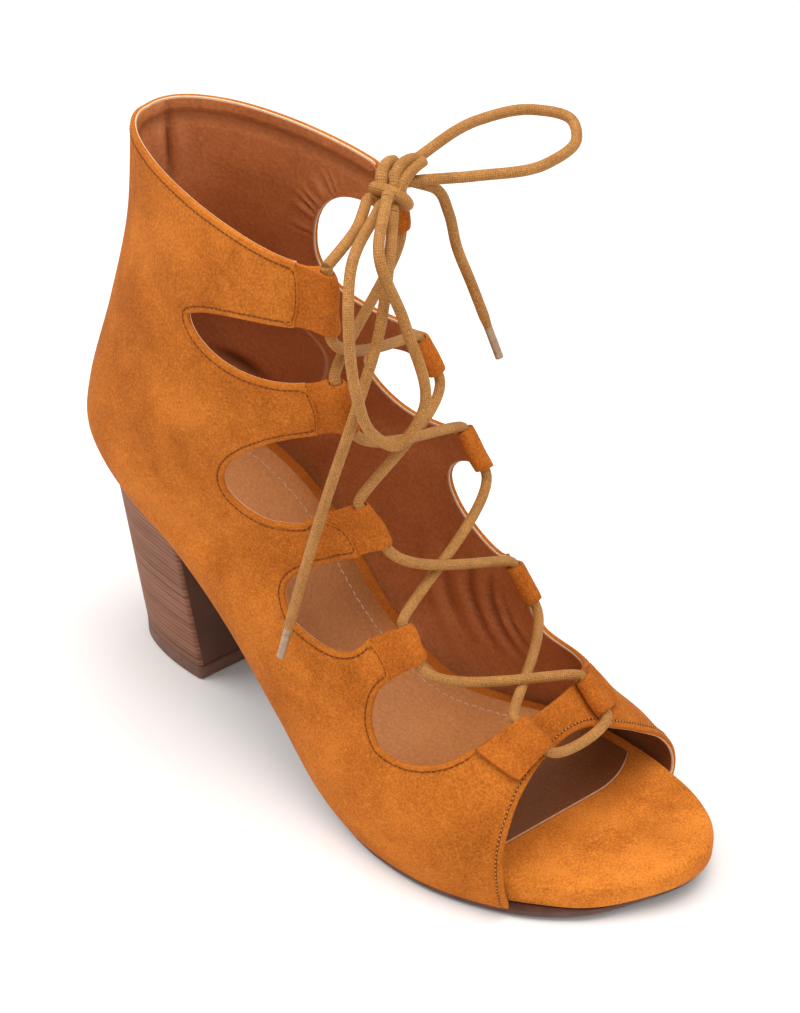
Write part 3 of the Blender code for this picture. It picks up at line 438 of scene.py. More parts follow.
def upper_point(row, reach):
    """Point of the upper's outer face: reach is 0 on the instep line, -1 and 1 at the sides' lower edges."""
    row, reach = np.broadcast_arrays(np.asarray(row, float), np.asarray(reach, float))
    side = np.where(reach < 0, -1.0, 1.0)
    toe_share = np.clip((row - TOE_ROW + 3) / 3, 0, 1) ** 2
    back_x = section(row, "back_x") + side * TOE_SKEW * toe_share * np.abs(reach)
    on_sole = row >= SEAT_ROW
    back_z = np.where(on_sole, seat(back_x) + FEATHER_GAP, section(row, "back_z"))
    width = np.where(side < 0, section(row, "lateral"), section(row, "medial"))
    full = section(row, "full")
    forward = np.where(side < 0, section(row, "lateral_forward"), section(row, "medial_forward"))
    back_y = section(row, "back_y")
    edge = np.where(side < 0, feather(back_x, -1) + back_y, feather(back_x, 1) - back_y)
    share = np.where(on_sole, np.clip(edge / width, 0, 1), 0.0)
    first = start_angle(share, full, forward)
    angle = math.pi + (first - math.pi) * np.abs(reach)
    rise = (np.cos(first) - np.cos(angle)) / (np.cos(first) + 1)
    x = back_x + rise * (section(row, "front_x") - back_x)
    y = back_y + rise * (section(row, "front_y") - back_y) + side * width * bow_out(angle, full, forward)
    z = back_z + rise * (section(row, "front_z") - back_z)
    return np.stack([x, y, z], -1)


def upper_normal(row, reach):
    """Outward unit normal of the upper's outer face."""
    row, reach = np.broadcast_arrays(np.asarray(row, float), np.asarray(reach, float))
    above, below = np.maximum(row - NORMAL_STEP, 0), np.minimum(row + NORMAL_STEP, TOE_ROW)
    side = np.where(reach < 0, -1.0, 1.0)
    inner = side * np.maximum(np.abs(reach) - NORMAL_STEP, 0)
    outer = side * np.minimum(np.abs(reach) + NORMAL_STEP, 1)
    around = side[..., None] * (upper_point(row, outer) - upper_point(row, inner))
    return unit(np.cross(upper_point(below, reach) - upper_point(above, reach), around))


# Flat outlines and how they are filled

def inside(points, outline):
    """True for each point that lies inside the closed outline."""
    x, y = points[:, 0:1], points[:, 1:2]
    x0, y0 = outline[:, 0], outline[:, 1]
    x1, y1 = np.roll(x0, -1), np.roll(y0, -1)
    with np.errstate(divide="ignore", invalid="ignore"):
        crossed = ((y0 > y) != (y1 > y)) & (x < (x1 - x0) * (y - y0) / (y1 - y0) + x0)
    return crossed.sum(axis=1) % 2 == 1


def near_tree(points):
    """A search tree over points."""
    tree = kdtree.KDTree(len(points))
    for i, point in enumerate(points):
        tree.insert(point, i)
    tree.balance()
    return tree


def fill_outline(outline, spacing, keep_off):
    """Triangles that fill a flat outline, with grid points kept off its edge."""
    low, high = outline.min(axis=0), outline.max(axis=0)
    across = np.arange(low[0] + spacing[0] / 2, high[0], spacing[0])
    along = np.arange(low[1] + spacing[1] / 2, high[1], spacing[1])
    grid = np.stack(np.meshgrid(across, along, indexing="ij"), -1).reshape(-1, 2)
    grid = grid[inside(grid, outline)]
    tree = near_tree(np.column_stack([outline, np.zeros(len(outline))]))
    clear = [tree.find((x, y, 0.0))[2] > keep_off for x, y in grid]
    points = np.concatenate([outline, grid[clear]])
    count = len(outline)
    edges = [(i, (i + 1) % count) for i in range(count)]
    made = delaunay_2d_cdt([Vector(point) for point in points], edges, [], 1, MERGE_NEAR)
    return np.array([tuple(point) for point in made[0]]), made[2], made[3]


def inset(outline, distance):
    """A closed plan outline, counterclockwise from above, moved inwards."""
    step = unit(np.roll(outline, -1, axis=0) - outline)
    along = step + np.roll(step, 1, axis=0)
    inward = unit(np.stack([-along[:, 1], along[:, 0]], -1))
    return outline + inward * np.reshape(distance, (-1, 1))


def sock_front(y):
    """Front edge of the sock liner: straight, and round at its medial end."""
    return SOCK_FRONT + SOCK_SKEW * y - SOCK_ROUND * np.maximum(y - SOCK_ROUND_FROM, 0) ** 2


def behind(outline, front):
    """The part of a plan outline behind a front edge, which is a function of y."""
    ahead = outline[:, 0] - front(outline[:, 1])
    kept = []
    for i in range(len(outline)):
        j = (i + 1) % len(outline)
        if ahead[i] < 0:
            kept.append(outline[i])
        if (ahead[i] < 0) == (ahead[j] < 0):
            continue
        place = outline[i] + (outline[j] - outline[i]) * ahead[i] / (ahead[i] - ahead[j])
        if ahead[j] < 0:
            across = np.linspace(kept[-1][1], place[1], SOCK_FRONT_STEPS + 1)[1:-1]
            kept += [np.array([front(y), y]) for y in across]
        kept.append(place)
    return np.array(kept)


def raised(outline, height):
    """A plan outline lifted to a height function of x."""
    return np.column_stack([outline, height(outline[:, 0])])


def sole_outline(start, end):
    """Plan of the sole between two places on each side, counterclockwise from above, starting lateral."""
    sides = []
    for side in (-1, 1):
        first, last = along_sole(np.array([start[side], end[side]]))
        x = HEEL_END + (TOE_END - HEEL_END) * (1 - np.cos(np.linspace(first, last, OUTLINE_STEPS + 1))) / 2
        sides.append(np.column_stack([x, side * feather(x, side)]))
    lateral, medial = sides
    joined = np.concatenate([lateral, medial[::-1]])
    apart = np.linalg.norm(joined - np.roll(joined, 1, axis=0), axis=1)
    return joined[apart > SAME_POINT]


# Objects

def row_frame(points):
    """Shoe millimetres to the row frame, in metres."""
    return (np.asarray(points, float) - FOOTPRINT_CENTRE) * MM


def add_mesh(name, points, faces, materials, face_slots=None, values=None, uvs=None, sharp=40):
    """A named piece on the shoe's one body, from points in shoe millimetres."""
    mesh = bpy.data.meshes.new(name)
    mesh.from_pydata(row_frame(points).tolist(), [], [tuple(int(i) for i in face) for face in faces])
    for material in materials:
        mesh.materials.append(material)
    if face_slots is not None:
        mesh.polygons.foreach_set("material_index", np.asarray(face_slots, np.int32))
    for key, numbers in (values or {}).items():
        mesh.attributes.new(key, "FLOAT", "POINT").data.foreach_set("value", np.asarray(numbers, np.float32))
    if uvs is not None:
        corners = np.zeros(len(mesh.loops), np.int32)
        mesh.loops.foreach_get("vertex_index", corners)
        mesh.uv_layers.new(name="UVMap").data.foreach_set("uv", np.asarray(uvs, np.float32)[corners].ravel())
    mesh.shade_smooth()
    mesh.set_sharp_from_angle(angle=math.radians(sharp))
    piece = bpy.data.objects.new(name, mesh)
    bpy.context.scene.collection.objects.link(piece)
    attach(piece, "root")
    return piece


def quads(levels, count, first=0):
    """Faces between closed rings of count points each, numbered on from the first point."""
    faces = []
    for level in range(levels - 1):
        for i in range(count):
            a = first + level * count + i
            b = first + level * count + (i + 1) % count
            faces.append((a, b, b + count, a + count))
    return faces


def ring_solid(name, rings, bottom, top, materials, side_slot=None, fields=None):
    """A closed solid from equal rings of points, bottom ring first, capped by height functions of x."""
    points = [tuple(point) for ring in rings for point in ring]
    count = len(rings[0])
    faces = quads(len(rings), count)
    slots = [side_slot(points[face[0]], points[face[1]]) if side_slot else 0 for face in faces]
    for first, height, flip in ((0, bottom, True), ((len(rings) - 1) * count, top, False)):
        ring = np.array(points[first:first + count])[:, :2]
        flat, cap, origins = fill_outline(ring, SOLE_SPACING, SOLE_KEEP_OFF)
        index = []
        for point, origin in zip(flat, origins):
            known = [i for i in origin if i < count]
            if known:
                index.append(first + known[0])
            else:
                index.append(len(points))
                points.append((point[0], point[1], float(height(point[0]))))
        for face in cap:
            corners = [index[i] for i in face]
            faces.append(tuple(corners[::-1] if flip else corners))
            slots.append(0)
    values = {key: [float(field(point)) for point in points] for key, field in (fields or {}).items()}
    return add_mesh(name, points, faces, materials, slots, values)


# Materials

# Noise: features in a metre, detail and distortion
NOISE = {
    "nap_patches": (30.0, 2.0, 0.5),
    "nap_mottles": (170.0, 3.0, 0.6),
    "nap_fibres": (1500.0, 3.0, 0.3),
    "lining_cloud": (28.0, 3.0, 0.6),
    "lining_grain": (820.0, 4.0, 0.5),
    "sock_cloud": (18.0, 2.0, 0.4),
    "sock_grain": (950.0, 4.0, 0.4),
    "heel_streak": (90.0, 3.0, 0.4),
    "cord_fibre": (2000.0, 3.0, 0.4),
    "cord_patch": (160.0, 2.0, 0.3),
    "tip_streak": (420.0, 3.0, 0.4),
}
PLAIN_NOISE = (3.0, 0.3)

# Weights of the noises that make up a tone or a relief
WEIGHTS = {
    "nap": (0.74, 0.28, 0.95),
    "nap_relief": (0.2, 0.8),
    "leather": (0.45, 0.55),
    "layers": (0.35, 0.65),
    "cord": (0.58, 0.18, 0.24),
}

# Colours of each tone, dark to light
TONES = {
    "suede": ((0.25, (0.300, 0.074, 0.0075)), (0.50, (0.450, 0.122, 0.0132)), (0.75, (0.610, 0.185, 0.0240))),
    "lining": ((0.30, (0.39, 0.118, 0.033)), (0.50, (0.54, 0.178, 0.054)), (0.70, (0.70, 0.255, 0.090))),
    "sock": ((0.32, (0.50, 0.185, 0.054)), (0.52, (0.66, 0.265, 0.084)), (0.70, (0.80, 0.350, 0.122))),
    "heel": ((0.25, (0.195, 0.080, 0.045)), (0.55, (0.28, 0.123, 0.074)), (0.85, (0.35, 0.165, 0.105))),
    "cord": ((0.28, (0.22, 0.082, 0.014)), (0.48, (0.38, 0.155, 0.031)), (0.70, (0.59, 0.285, 0.072))),
    "tip": ((0.3, (0.24, 0.125, 0.055)), (0.7, (0.40, 0.25, 0.13))),
}

# Tints over a tone: strength and colour
TINTS = {
    "worn_nap": (1.0, (0.30, 0.072, 0.008)),
    "turned_edge": (0.14, (0.60, 0.175, 0.018)),
    "stitch_groove": (0.20, (0.16, 0.036, 0.004)),
    # painted shade: lining darker deeper under the collar
    "painted_shade_lining_deep": (0.14, (0.20, 0.055, 0.016)),
    # painted shade: lining darker at its covered front
    "painted_shade_lining_front": (0.70, (0.070, 0.020, 0.006)),
    "grip_panel": (0.25, (0.30, 0.125, 0.062)),
    "grip_line": (0.60, (0.66, 0.40, 0.26)),
    # painted highlight on the creases' crests and painted shade in their troughs
    "crease_crest": (0.30, (0.72, 0.28, 0.105)),
    "crease_trough": (-0.75, (0.075, 0.022, 0.007)),
    # painted shade in the groove under the facing
    "facing_groove_and_shade": (0.40, (0.14, 0.040, 0.012)),
    # painted highlight on the gathers' crests
    "gather_painted_highlight": (0.35, (0.80, 0.34, 0.13)),
    # painted shade: sock liner darker on the steep arch and under the upper's closed front
    "painted_shade_sock": (0.90, (0.10, 0.024, 0.005)),
    "layer_groove": (0.48, (0.075, 0.03, 0.018)),
}

# Bands and soft lines along a value: places and strengths
BANDS = {
    "turned_edge": ((0.0, 1.0), (0.70, 1.0), (0.95, 0.0), (1.0, 0.0)),
    "stitch_groove": ((0.40, 0.0), (0.48, 1.0), (0.53, 1.0), (0.62, 0.0)),
    "grip_panel": ((0.48, 0.0), (0.51, 1.0)),
    "grip_line": ((0.462, 0.0), (0.480, 1.0), (0.500, 1.0), (0.518, 0.0)),
    "facing_groove_and_shade": ((0.28, 0.0), (0.46, 1.0), (0.54, 1.0), (0.95, 0.0)),
    "layer_groove": ((0.0, 1.0), (0.12, 0.6), (0.26, 0.0), (1.0, 0.0)),
}

# Relief: strength, and depth in millimetres
RELIEF = {
    "nap": (0.50, 0.45),
    "stitch_groove": (0.8, -0.5),
    "lining_grain": (0.55, 0.40),
    "facing_groove_and_shade": (0.8, -0.6),
    "gathers": (0.7, 0.45),
    "sock_grain": (0.65, 0.45),
    "layer_groove": (0.5, -0.35),
    "weave": (0.5, 0.30),
    "tip_streak": (0.3, 0.2),
}

# Share of the distance to the stitch line and of the distance to the heel grip that their bands are read at
EDGE_SCALE = 0.5
GRIP_SCALE = 0.05

# Layers of the heel, in millimetres, and how they stretch its streaks
LAYER = 2.1
LAYER_STRETCH = (1.0, 1.0, 12.0)


class Shade:
    """A node material, built one node at a time around its Principled shader."""

    def __init__(self, name, colour, roughness):
        self.material = bpy.data.materials.new(name)
        self.material.use_nodes = True
        self.tree = self.material.node_tree
        self.shader = self.tree.nodes["Principled BSDF"]
        self.set(self.shader, {"Base Color": (*colour, 1.0), "Roughness": roughness})
        self.place = self.add("ShaderNodeTexCoord").outputs["Object"]

    def set(self, node, inputs):
        """Sets or links inputs of a node by name or number."""
        for key, value in inputs.items():
            if isinstance(value, bpy.types.NodeSocket):
                self.tree.links.new(value, node.inputs[key])
            else:
                node.inputs[key].default_value = value

    def add(self, kind, inputs=None, **settings):
        """A new node with its settings and inputs."""
        node = self.tree.nodes.new(kind)
        for key, value in settings.items():
            setattr(node, key, value)
        self.set(node, inputs or {})
        return node

    def noise(self, scale, detail, distortion, stretch=None):
        """Noise over the shoe, where scale is its number of features in a metre."""
        where = self.place
        if stretch:
            where = self.add("ShaderNodeMapping", {"Vector": where, "Scale": stretch}).outputs[0]
        inputs = {"Vector": where, "Scale": scale, "Detail": detail, "Distortion": distortion}
        return self.add("ShaderNodeTexNoise", inputs).outputs["Fac"]

    def attribute(self, name):
        """A value that the mesh carries."""
        return self.add("ShaderNodeAttribute", attribute_name=name).outputs["Fac"]

    def math(self, operation, a, b=0.0, c=0.0):
        """One step of arithmetic."""
        return self.add("ShaderNodeMath", {0: a, 1: b, 2: c}, operation=operation).outputs[0]

    def weigh(self, fields, weights, total=0.0):
        """Sum of values, each times its weight."""
        for field, weight in zip(fields, weights):
            total = self.math("MULTIPLY_ADD", field, weight, total)
        return total

    def ramp(self, fac, stops):
        """Colours or greys along a value."""
        node = self.add("ShaderNodeValToRGB", {"Fac": fac})
        elements = node.color_ramp.elements
        while len(elements) < len(stops):
            elements.new(1.0)
        for element, (position, colour) in zip(elements, stops):
            element.position = position
            element.color = (*colour, 1.0) if isinstance(colour, tuple) else (colour, colour, colour, 1.0)
        return node.outputs["Color"]

    def tint(self, colour, name, fac):
        """A named tint over a colour, as far as a value above 0 says."""
        strength, tone = TINTS[name]
        node = self.add("ShaderNodeMix", data_type="RGBA", blend_type="MIX", clamp_factor=True)
        self.set(node, {0: self.math("MULTIPLY", fac, strength), 6: colour, 7: (*tone, 1.0)})
        return node.outputs[2]

    def bump(self, height, strength, depth, normal=None):
        """Relief of a depth in millimetres."""
        node = self.add("ShaderNodeBump", {"Height": height, "Strength": strength, "Distance": depth * MM})
        if normal:
            self.set(node, {"Normal": normal})
        return node.outputs["Normal"]

    def finish(self, colour=None, normal=None, **values):
        """The material, with its colour, relief and other values set on the shader."""
        links = {"Base Color": colour, "Normal": normal}
        self.set(self.shader, {key: value for key, value in links.items() if value is not None})
        self.set(self.shader, {key.replace("_", " "): value for key, value in values.items()})
        return self.material


def suede(name, tone=(1.0, 1.0, 1.0), mottle=1.0, edged=False, trodden=False):
    """Brushed faux suede: blotches of nap, short fibres and, where edged, a turned edge by its stitch line."""
    shade = Shade(name, (0.5, 0.15, 0.016), 0.95)
    patches, mottles, fibres = (shade.noise(*NOISE["nap_" + kind]) for kind in ("patches", "mottles", "fibres"))
    weights = [weight * more for weight, more in zip(WEIGHTS["nap"], (mottle, mottle, 1.0))]
    nap = shade.weigh((patches, mottles, fibres), weights, 0.5 - sum(weights) / 2)
    stops = [(at, tuple(a * b for a, b in zip(colour, tone))) for at, colour in TONES["suede"]]
    colour = shade.ramp(nap, stops)
    normal = shade.bump(shade.weigh((mottles, fibres), WEIGHTS["nap_relief"]), *RELIEF["nap"])
    if trodden:
        colour = shade.tint(colour, "worn_nap", shade.math("MULTIPLY", shade.attribute("worn"), mottles))
    if edged:
        edge = shade.attribute("edge")
        colour = shade.tint(colour, "turned_edge", shade.ramp(edge, BANDS["turned_edge"]))
        groove = shade.ramp(shade.math("MULTIPLY", edge, EDGE_SCALE), BANDS["stitch_groove"])
        colour = shade.tint(colour, "stitch_groove", groove)
        normal = shade.bump(groove, *RELIEF["stitch_groove"], normal)
    return shade.finish(colour, normal, Sheen_Weight=0.10, Sheen_Roughness=0.4,
                        Sheen_Tint=(1.0, 0.50, 0.16, 1.0), Specular_IOR_Level=0.12)


def lining_material():
    """Thin leatherette lining: grain, heel grip, creases, facing by the collar and gathers by a cut-out;
    painted shade deep inside, at the front, in crease troughs and the facing groove, painted highlights on
    crests.
    """
    shade = Shade("lining", (0.46, 0.16, 0.06), 0.5)
    grain, cloud = (shade.noise(*NOISE["lining_" + kind]) for kind in ("grain", "cloud"))
    colour = shade.ramp(shade.weigh((grain, cloud), WEIGHTS["leather"]), TONES["lining"])
    normal = shade.bump(grain, *RELIEF["lining_grain"])
    # Painted shade: darker deeper under the collar and at the covered front
    colour = shade.tint(colour, "painted_shade_lining_deep", shade.attribute("deep"))
    colour = shade.tint(colour, "painted_shade_lining_front", shade.attribute("painted_shade"))
    grip = shade.math("MULTIPLY_ADD", shade.attribute("grip"), GRIP_SCALE, 0.5)
    for kind in ("grip_panel", "grip_line"):
        colour = shade.tint(colour, kind, shade.ramp(grip, BANDS[kind]))
    # Painted highlight on the creases' crests and painted shade in their troughs, from the crease depth
    crease = shade.attribute("crease")
    for kind in ("crease_crest", "crease_trough"):
        colour = shade.tint(colour, kind, crease)
    # Groove under the facing: relief, and painted shade in it
    groove = shade.ramp(shade.attribute("band"), BANDS["facing_groove_and_shade"])
    colour = shade.tint(colour, "facing_groove_and_shade", groove)
    normal = shade.bump(groove, *RELIEF["facing_groove_and_shade"], normal)
    # Gathers: relief, and a painted highlight on their crests
    fold = shade.math("SINE", shade.math("MULTIPLY", shade.attribute("fan"), 2 * math.pi))
    fold = shade.math("MULTIPLY", fold, shade.attribute("fan_fall"))
    colour = shade.tint(colour, "gather_painted_highlight", fold)
    normal = shade.bump(fold, *RELIEF["gathers"], normal)
    return shade.finish(colour, normal, Specular_IOR_Level=0.35)


def plain(name, low, high, scale, roughness, relief=0.2):
    """A plain finish that varies between two colours."""
    shade = Shade(name, low, roughness)
    fac = shade.noise(scale, *PLAIN_NOISE)
    colour = shade.ramp(fac, ((0.3, low), (0.7, high)))
    return shade.finish(colour, shade.bump(fac, 0.3, relief), Specular_IOR_Level=0.3)


def sock_material():
    """Smooth pinkish leatherette of the sock liner, with painted shade on the steep arch and under the upper's
    closed front.
    """
    shade = Shade("sock", (0.60, 0.28, 0.14), 0.45)
    grain, cloud = (shade.noise(*NOISE["sock_" + kind]) for kind in ("grain", "cloud"))
    colour = shade.ramp(shade.weigh((grain, cloud), WEIGHTS["leather"]), TONES["sock"])
    # painted shade: darker on the steep arch and under the upper's closed front
    colour = shade.tint(colour, "painted_shade_sock", shade.attribute("painted_shade"))
    return shade.finish(colour, shade.bump(grain, *RELIEF["sock_grain"]), Specular_IOR_Level=0.32)


def stack_material():
    """Stacked look of the heel: fine level lines, each layer a little different."""
    shade = Shade("heel_layers", (0.25, 0.094, 0.048), 0.6)
    height = shade.add("ShaderNodeSeparateXYZ", {0: shade.place}).outputs["Z"]
    phase = shade.math("MULTIPLY", height, 1 / (LAYER * MM))
    line = shade.math("ABSOLUTE", shade.math("SUBTRACT", shade.math("FRACT", phase), 0.5))
    groove = shade.ramp(line, BANDS["layer_groove"])
    number = shade.math("FLOOR", phase)
    layer = shade.add("ShaderNodeTexWhiteNoise", {"W": number}, noise_dimensions="1D").outputs["Value"]
    streak = shade.noise(*NOISE["heel_streak"], stretch=LAYER_STRETCH)
    colour = shade.ramp(shade.weigh((layer, streak), WEIGHTS["layers"]), TONES["heel"])
    colour = shade.tint(colour, "layer_groove", groove)
    return shade.finish(colour, shade.bump(groove, *RELIEF["layer_groove"]), Specular_IOR_Level=0.1)


def braid_material():
    """Round waxed braid: strands that cross in small diamonds."""
    shade = Shade("braid", (0.45, 0.24, 0.06), 0.6)
    place = shade.add("ShaderNodeUVMap", uv_map="UVMap").outputs[0]
    split = shade.add("ShaderNodeSeparateXYZ", {0: place})
    length = shade.math("MULTIPLY", split.outputs["X"], 2 * math.pi / BRAID_PITCH)
    waves = []
    for turn in (1.0, -1.0):
        phase = shade.math("MULTIPLY_ADD", split.outputs["Y"], turn * BRAID_STRANDS * 2 * math.pi, length)
        waves.append(shade.math("SINE", phase))
    weave = shade.math("MULTIPLY_ADD", shade.math("MULTIPLY", *waves), 0.5, 0.5)
    fields = (shade.noise(*NOISE["cord_fibre"]), weave, shade.noise(*NOISE["cord_patch"]))
    colour = shade.ramp(shade.weigh(fields, WEIGHTS["cord"]), TONES["cord"])
    return shade.finish(colour, shade.bump(weave, *RELIEF["weave"]), Specular_IOR_Level=0.30,
                        Sheen_Weight=0.12, Sheen_Tint=(1.0, 0.75, 0.4, 1.0))


def tip_material():
    """Clear film shrunk round the tip of the lace."""
    shade = Shade("lace_tip", (0.30, 0.17, 0.08), 0.25)
    streak = shade.noise(*NOISE["tip_streak"])
    colour = shade.ramp(streak, TONES["tip"])
    return shade.finish(colour, shade.bump(streak, *RELIEF["tip_streak"]), Specular_IOR_Level=0.6,
                        Coat_Weight=0.5, Coat_Roughness=0.15)


SUEDE = suede("suede", edged=True)
LOOP_SUEDE = suede("loop_suede", tone=(0.95, 0.90, 0.90))
BOARD_SUEDE = suede("footbed_suede", tone=(1.30, 1.36, 1.44), mottle=1.3, trodden=True)
LINING = lining_material()
RAW_EDGE = plain("raw_edge", (0.70, 0.46, 0.25), (0.90, 0.68, 0.42), 600.0, 0.9)
SOCK = sock_material()
SOCK_EDGE = plain("sock_edge", (0.44, 0.21, 0.11), (0.58, 0.31, 0.18), 500.0, 0.7)
SOLE = plain("sole_rubber", (0.090, 0.042, 0.030), (0.135, 0.064, 0.047), 160.0, 0.5)
STACK = stack_material()
BREAST = plain("heel_breast", (0.078, 0.027, 0.012), (0.12, 0.043, 0.021), 60.0, 0.5, 0.1)
LIFT = plain("lift_rubber", (0.13, 0.058, 0.036), (0.19, 0.088, 0.058), 200.0, 0.5)
THREADS = {
    "dark": plain("dark_thread", (0.13, 0.030, 0.005), (0.24, 0.062, 0.010), 1500.0, 0.85),
    "golden": plain("golden_thread", (0.56, 0.23, 0.045), (0.78, 0.40, 0.11), 1500.0, 0.7),
}
PALE_THREAD = plain("pale_thread", (0.62, 0.42, 0.28), (0.80, 0.58, 0.42), 1500.0, 0.7)
BRAID = braid_material()
LACE_TIP = tip_material()


# Upper

def notch_edge(corner_row, corner_reach, notch, upper):
    """One edge of a notch, from the strap's corner to just before the back of the notch."""
    names = dict(zip(NOTCH_COLUMNS, notch))
    power = names["upper_round"] if upper else names["lower_round"]
    belly = 0.0 if upper else names["lower_belly"]
    turn = np.linspace(math.pi / 2, 0, NOTCH_STEPS + 1)[:-1]
    share = 1 - np.cos(turn) ** (2 / power)
    curve = np.sin(turn) ** (2 / power)
    reach = names["back_reach"] + share * (corner_reach - names["back_reach"])
    row = names["back_row"] + curve * (corner_row - names["back_row"]) + belly * 4 * share * (1 - share)
    return [(row, reach, "notch") for row, reach in zip(row, reach)]


def comb_edge(side):
    """Throat edge of one side, from the collar down to the bridge: row, positive reach and kind of edge."""
    points = []
    for number, strap in enumerate(STRAPS[side]):
        names = dict(zip(STRAP_COLUMNS, strap))
        top, end, reach = names["joint_top"], names["joint_end"], names["joint_reach"]
        if number > 0:
            notch = NOTCHES[side][number - 1]
            points.append((notch[0], notch[1], "notch"))
            points += notch_edge(top, reach, notch, False)[::-1]
        if number < len(NOTCHES[side]):
            first = 0 if number == 0 else 1
            for share in np.linspace(0, 1, JOINT_STEPS + 1)[first:-1]:
                bow = JOINT_BOW / HALF_GIRTH * 4 * share * (1 - share)
                points.append((top + share * (end - top), reach - bow, "joint"))
            points += notch_edge(end, reach, NOTCHES[side][number], True)
    return points


def collar_edge(reach):
    """Row of the upper's top edge at a reach."""
    knots, rows = (column(COLLAR_EDGE, EDGE_COLUMNS, name) for name in EDGE_COLUMNS)
    return np.maximum(smooth(knots, rows, reach), 0)


def toe_edge(reach):
    """Row of the upper's front edge at a reach."""
    knots, rows = (column(TOE_EDGE, EDGE_COLUMNS, name) for name in EDGE_COLUMNS)
    return smooth(knots, rows, reach)


def pattern_outline():
    """Closed outline of the upper's pattern, cut open at the back seam, and the kind of edge at each point."""
    half = {}
    for side in (-1, 1):
        comb = comb_edge(side)
        reaches = np.linspace(1, comb[0][1], COLLAR_STEPS + 1)[:-1]
        collar = [(float(collar_edge(side * reach)), reach, "collar") for reach in reaches]
        half[side] = [(row, side * reach, kind) for row, reach, kind in collar + comb]
    (row_a, reach_a, _), (row_b, reach_b, _) = half[-1][-1], half[1][-1]
    bridge = []
    for share in np.linspace(0, 1, 4 * JOINT_STEPS + 1)[1:-1]:
        row = row_a + share * (row_b - row_a) + BRIDGE_BOW * 4 * share * (1 - share)
        bridge.append((row, reach_a + share * (reach_b - reach_a), "bridge"))
    seam = [(row, 1.0, "seam") for row in np.linspace(0, SEAT_ROW, SEAM_STEPS + 1)[1:]]
    rows = SEAT_ROW + (TOE_ROW - SEAT_ROW) * np.linspace(0, 1, FOOT_STEPS + 1)[1:] ** FOOT_SPREAD
    foot = [(row, 1.0, "foot") for row in rows]
    toe = [(float(toe_edge(reach)), reach, "toe") for reach in np.linspace(1, -1, TOE_STEPS + 1)[1:-1]]
    back = [(row, -reach, kind) for row, reach, kind in foot[::-1] + seam[:-1][::-1]]
    outline = half[-1] + bridge + half[1][::-1] + seam + foot + toe + back
    return np.array([point[:2] for point in outline]), [point[2] for point in outline]


# Gathers by the medial collar cut-out: folds in a radian, their centre in millimetres before its back, where
# they start and end from its edge, by their angle and under the collar, and how uneven they are
GATHERS = 6.0
GATHER_CENTRE = 13.0
GATHER_EDGE = ((0.3, 1.6), (4.5, 10.0))
GATHER_ANGLE = ((-0.1, 0.25), (1.1, 1.4))
GATHER_COLLAR = (6.0, 10.0)
GATHER_UNEVEN = (0.05, 11.0)

# Painted shade on the lining: darker deeper under the collar, in millimetres, and at the covered front, in
# rows, and the width that its band along the collar is read over
LINING_DEEP_SHADE_RAMP = (8.0, 60.0)
LINING_SHADE_ROWS = (11.4, 12.8)
BAND_WIDTH = 10.0

# Heel grip inside: reach of its front edge at the given row, and how it falls back above and below
GRIP_REACH = 0.53
GRIP_ROW = 3.8
GRIP_CURVE = 0.083

# Facing along the collar inside, in millimetres: a soft roll, and the groove under it
FACING = ((2.2, 1.7, 0.7), (5.2, 1.3, -0.4))
FACING_START = (0.2, 1.5)

# Creases, listed one by one: two ends on the pattern, a sideways bend, width and depth in millimetres
CREASE_BLUNT = 0.08
CREASE_COLUMNS = ("row_a", "reach_a", "row_b", "reach_b", "bend", "width", "depth")
SHELL_CREASES = (
    (0.9, -0.78, 1.5, -0.56, 2.0, 6.0, 0.7),
    (2.1, -0.72, 2.9, -0.50, -3.0, 7.0, 0.6),
    (3.3, -0.70, 4.4, -0.56, 3.0, 7.0, 0.7),
    (6.2, -0.80, 7.6, -0.60, 2.0, 6.0, 0.4),
    (1.5, 0.60, 3.6, 0.52, 3.0, 7.0, 0.6),
    (4.6, 0.62, 7.0, 0.66, -2.0, 7.0, 0.5),
)
LINING_CREASES = (
    (8.7, 0.62, 10.2, 0.80, 2.0, 1.5, 0.9),
    (8.9, 0.56, 10.6, 0.76, 2.5, 1.4, 1.0),
    (9.1, 0.52, 10.7, 0.70, 2.0, 1.3, 0.9),
    (9.4, 0.53, 10.6, 0.64, 1.0, 1.2, 0.7),
    (8.6, 0.70, 9.9, 0.86, 2.0, 1.8, 0.7),
    (9.0, 0.78, 10.4, 0.92, 1.0, 2.0, 0.5),
    (8.8, 0.59, 10.4, 0.78, 2.2, 1.2, -0.8),
    (9.0, 0.54, 10.65, 0.73, 2.2, 1.2, -0.9),
    (9.25, 0.525, 10.65, 0.67, 1.5, 1.2, -0.8),
    (8.65, 0.66, 10.0, 0.83, 2.0, 1.3, -0.6),
    (3.72, 0.755, 4.5, 0.67, -1.5, 1.7, -1.2),
    (0.2, -0.97, 2.4, -0.96, 0.0, 4.5, 0.9),
    (0.25, -0.90, 1.0, -0.92, 1.0, 3.5, 0.5),
    (0.10, 0.905, 1.05, 0.915, 0.6, 1.8, -1.1),
    (0.10, 0.945, 0.75, 0.950, 0.8, 3.0, 0.9),
    (0.15, 0.870, 0.80, 0.880, -0.6, 2.6, 0.6),
)


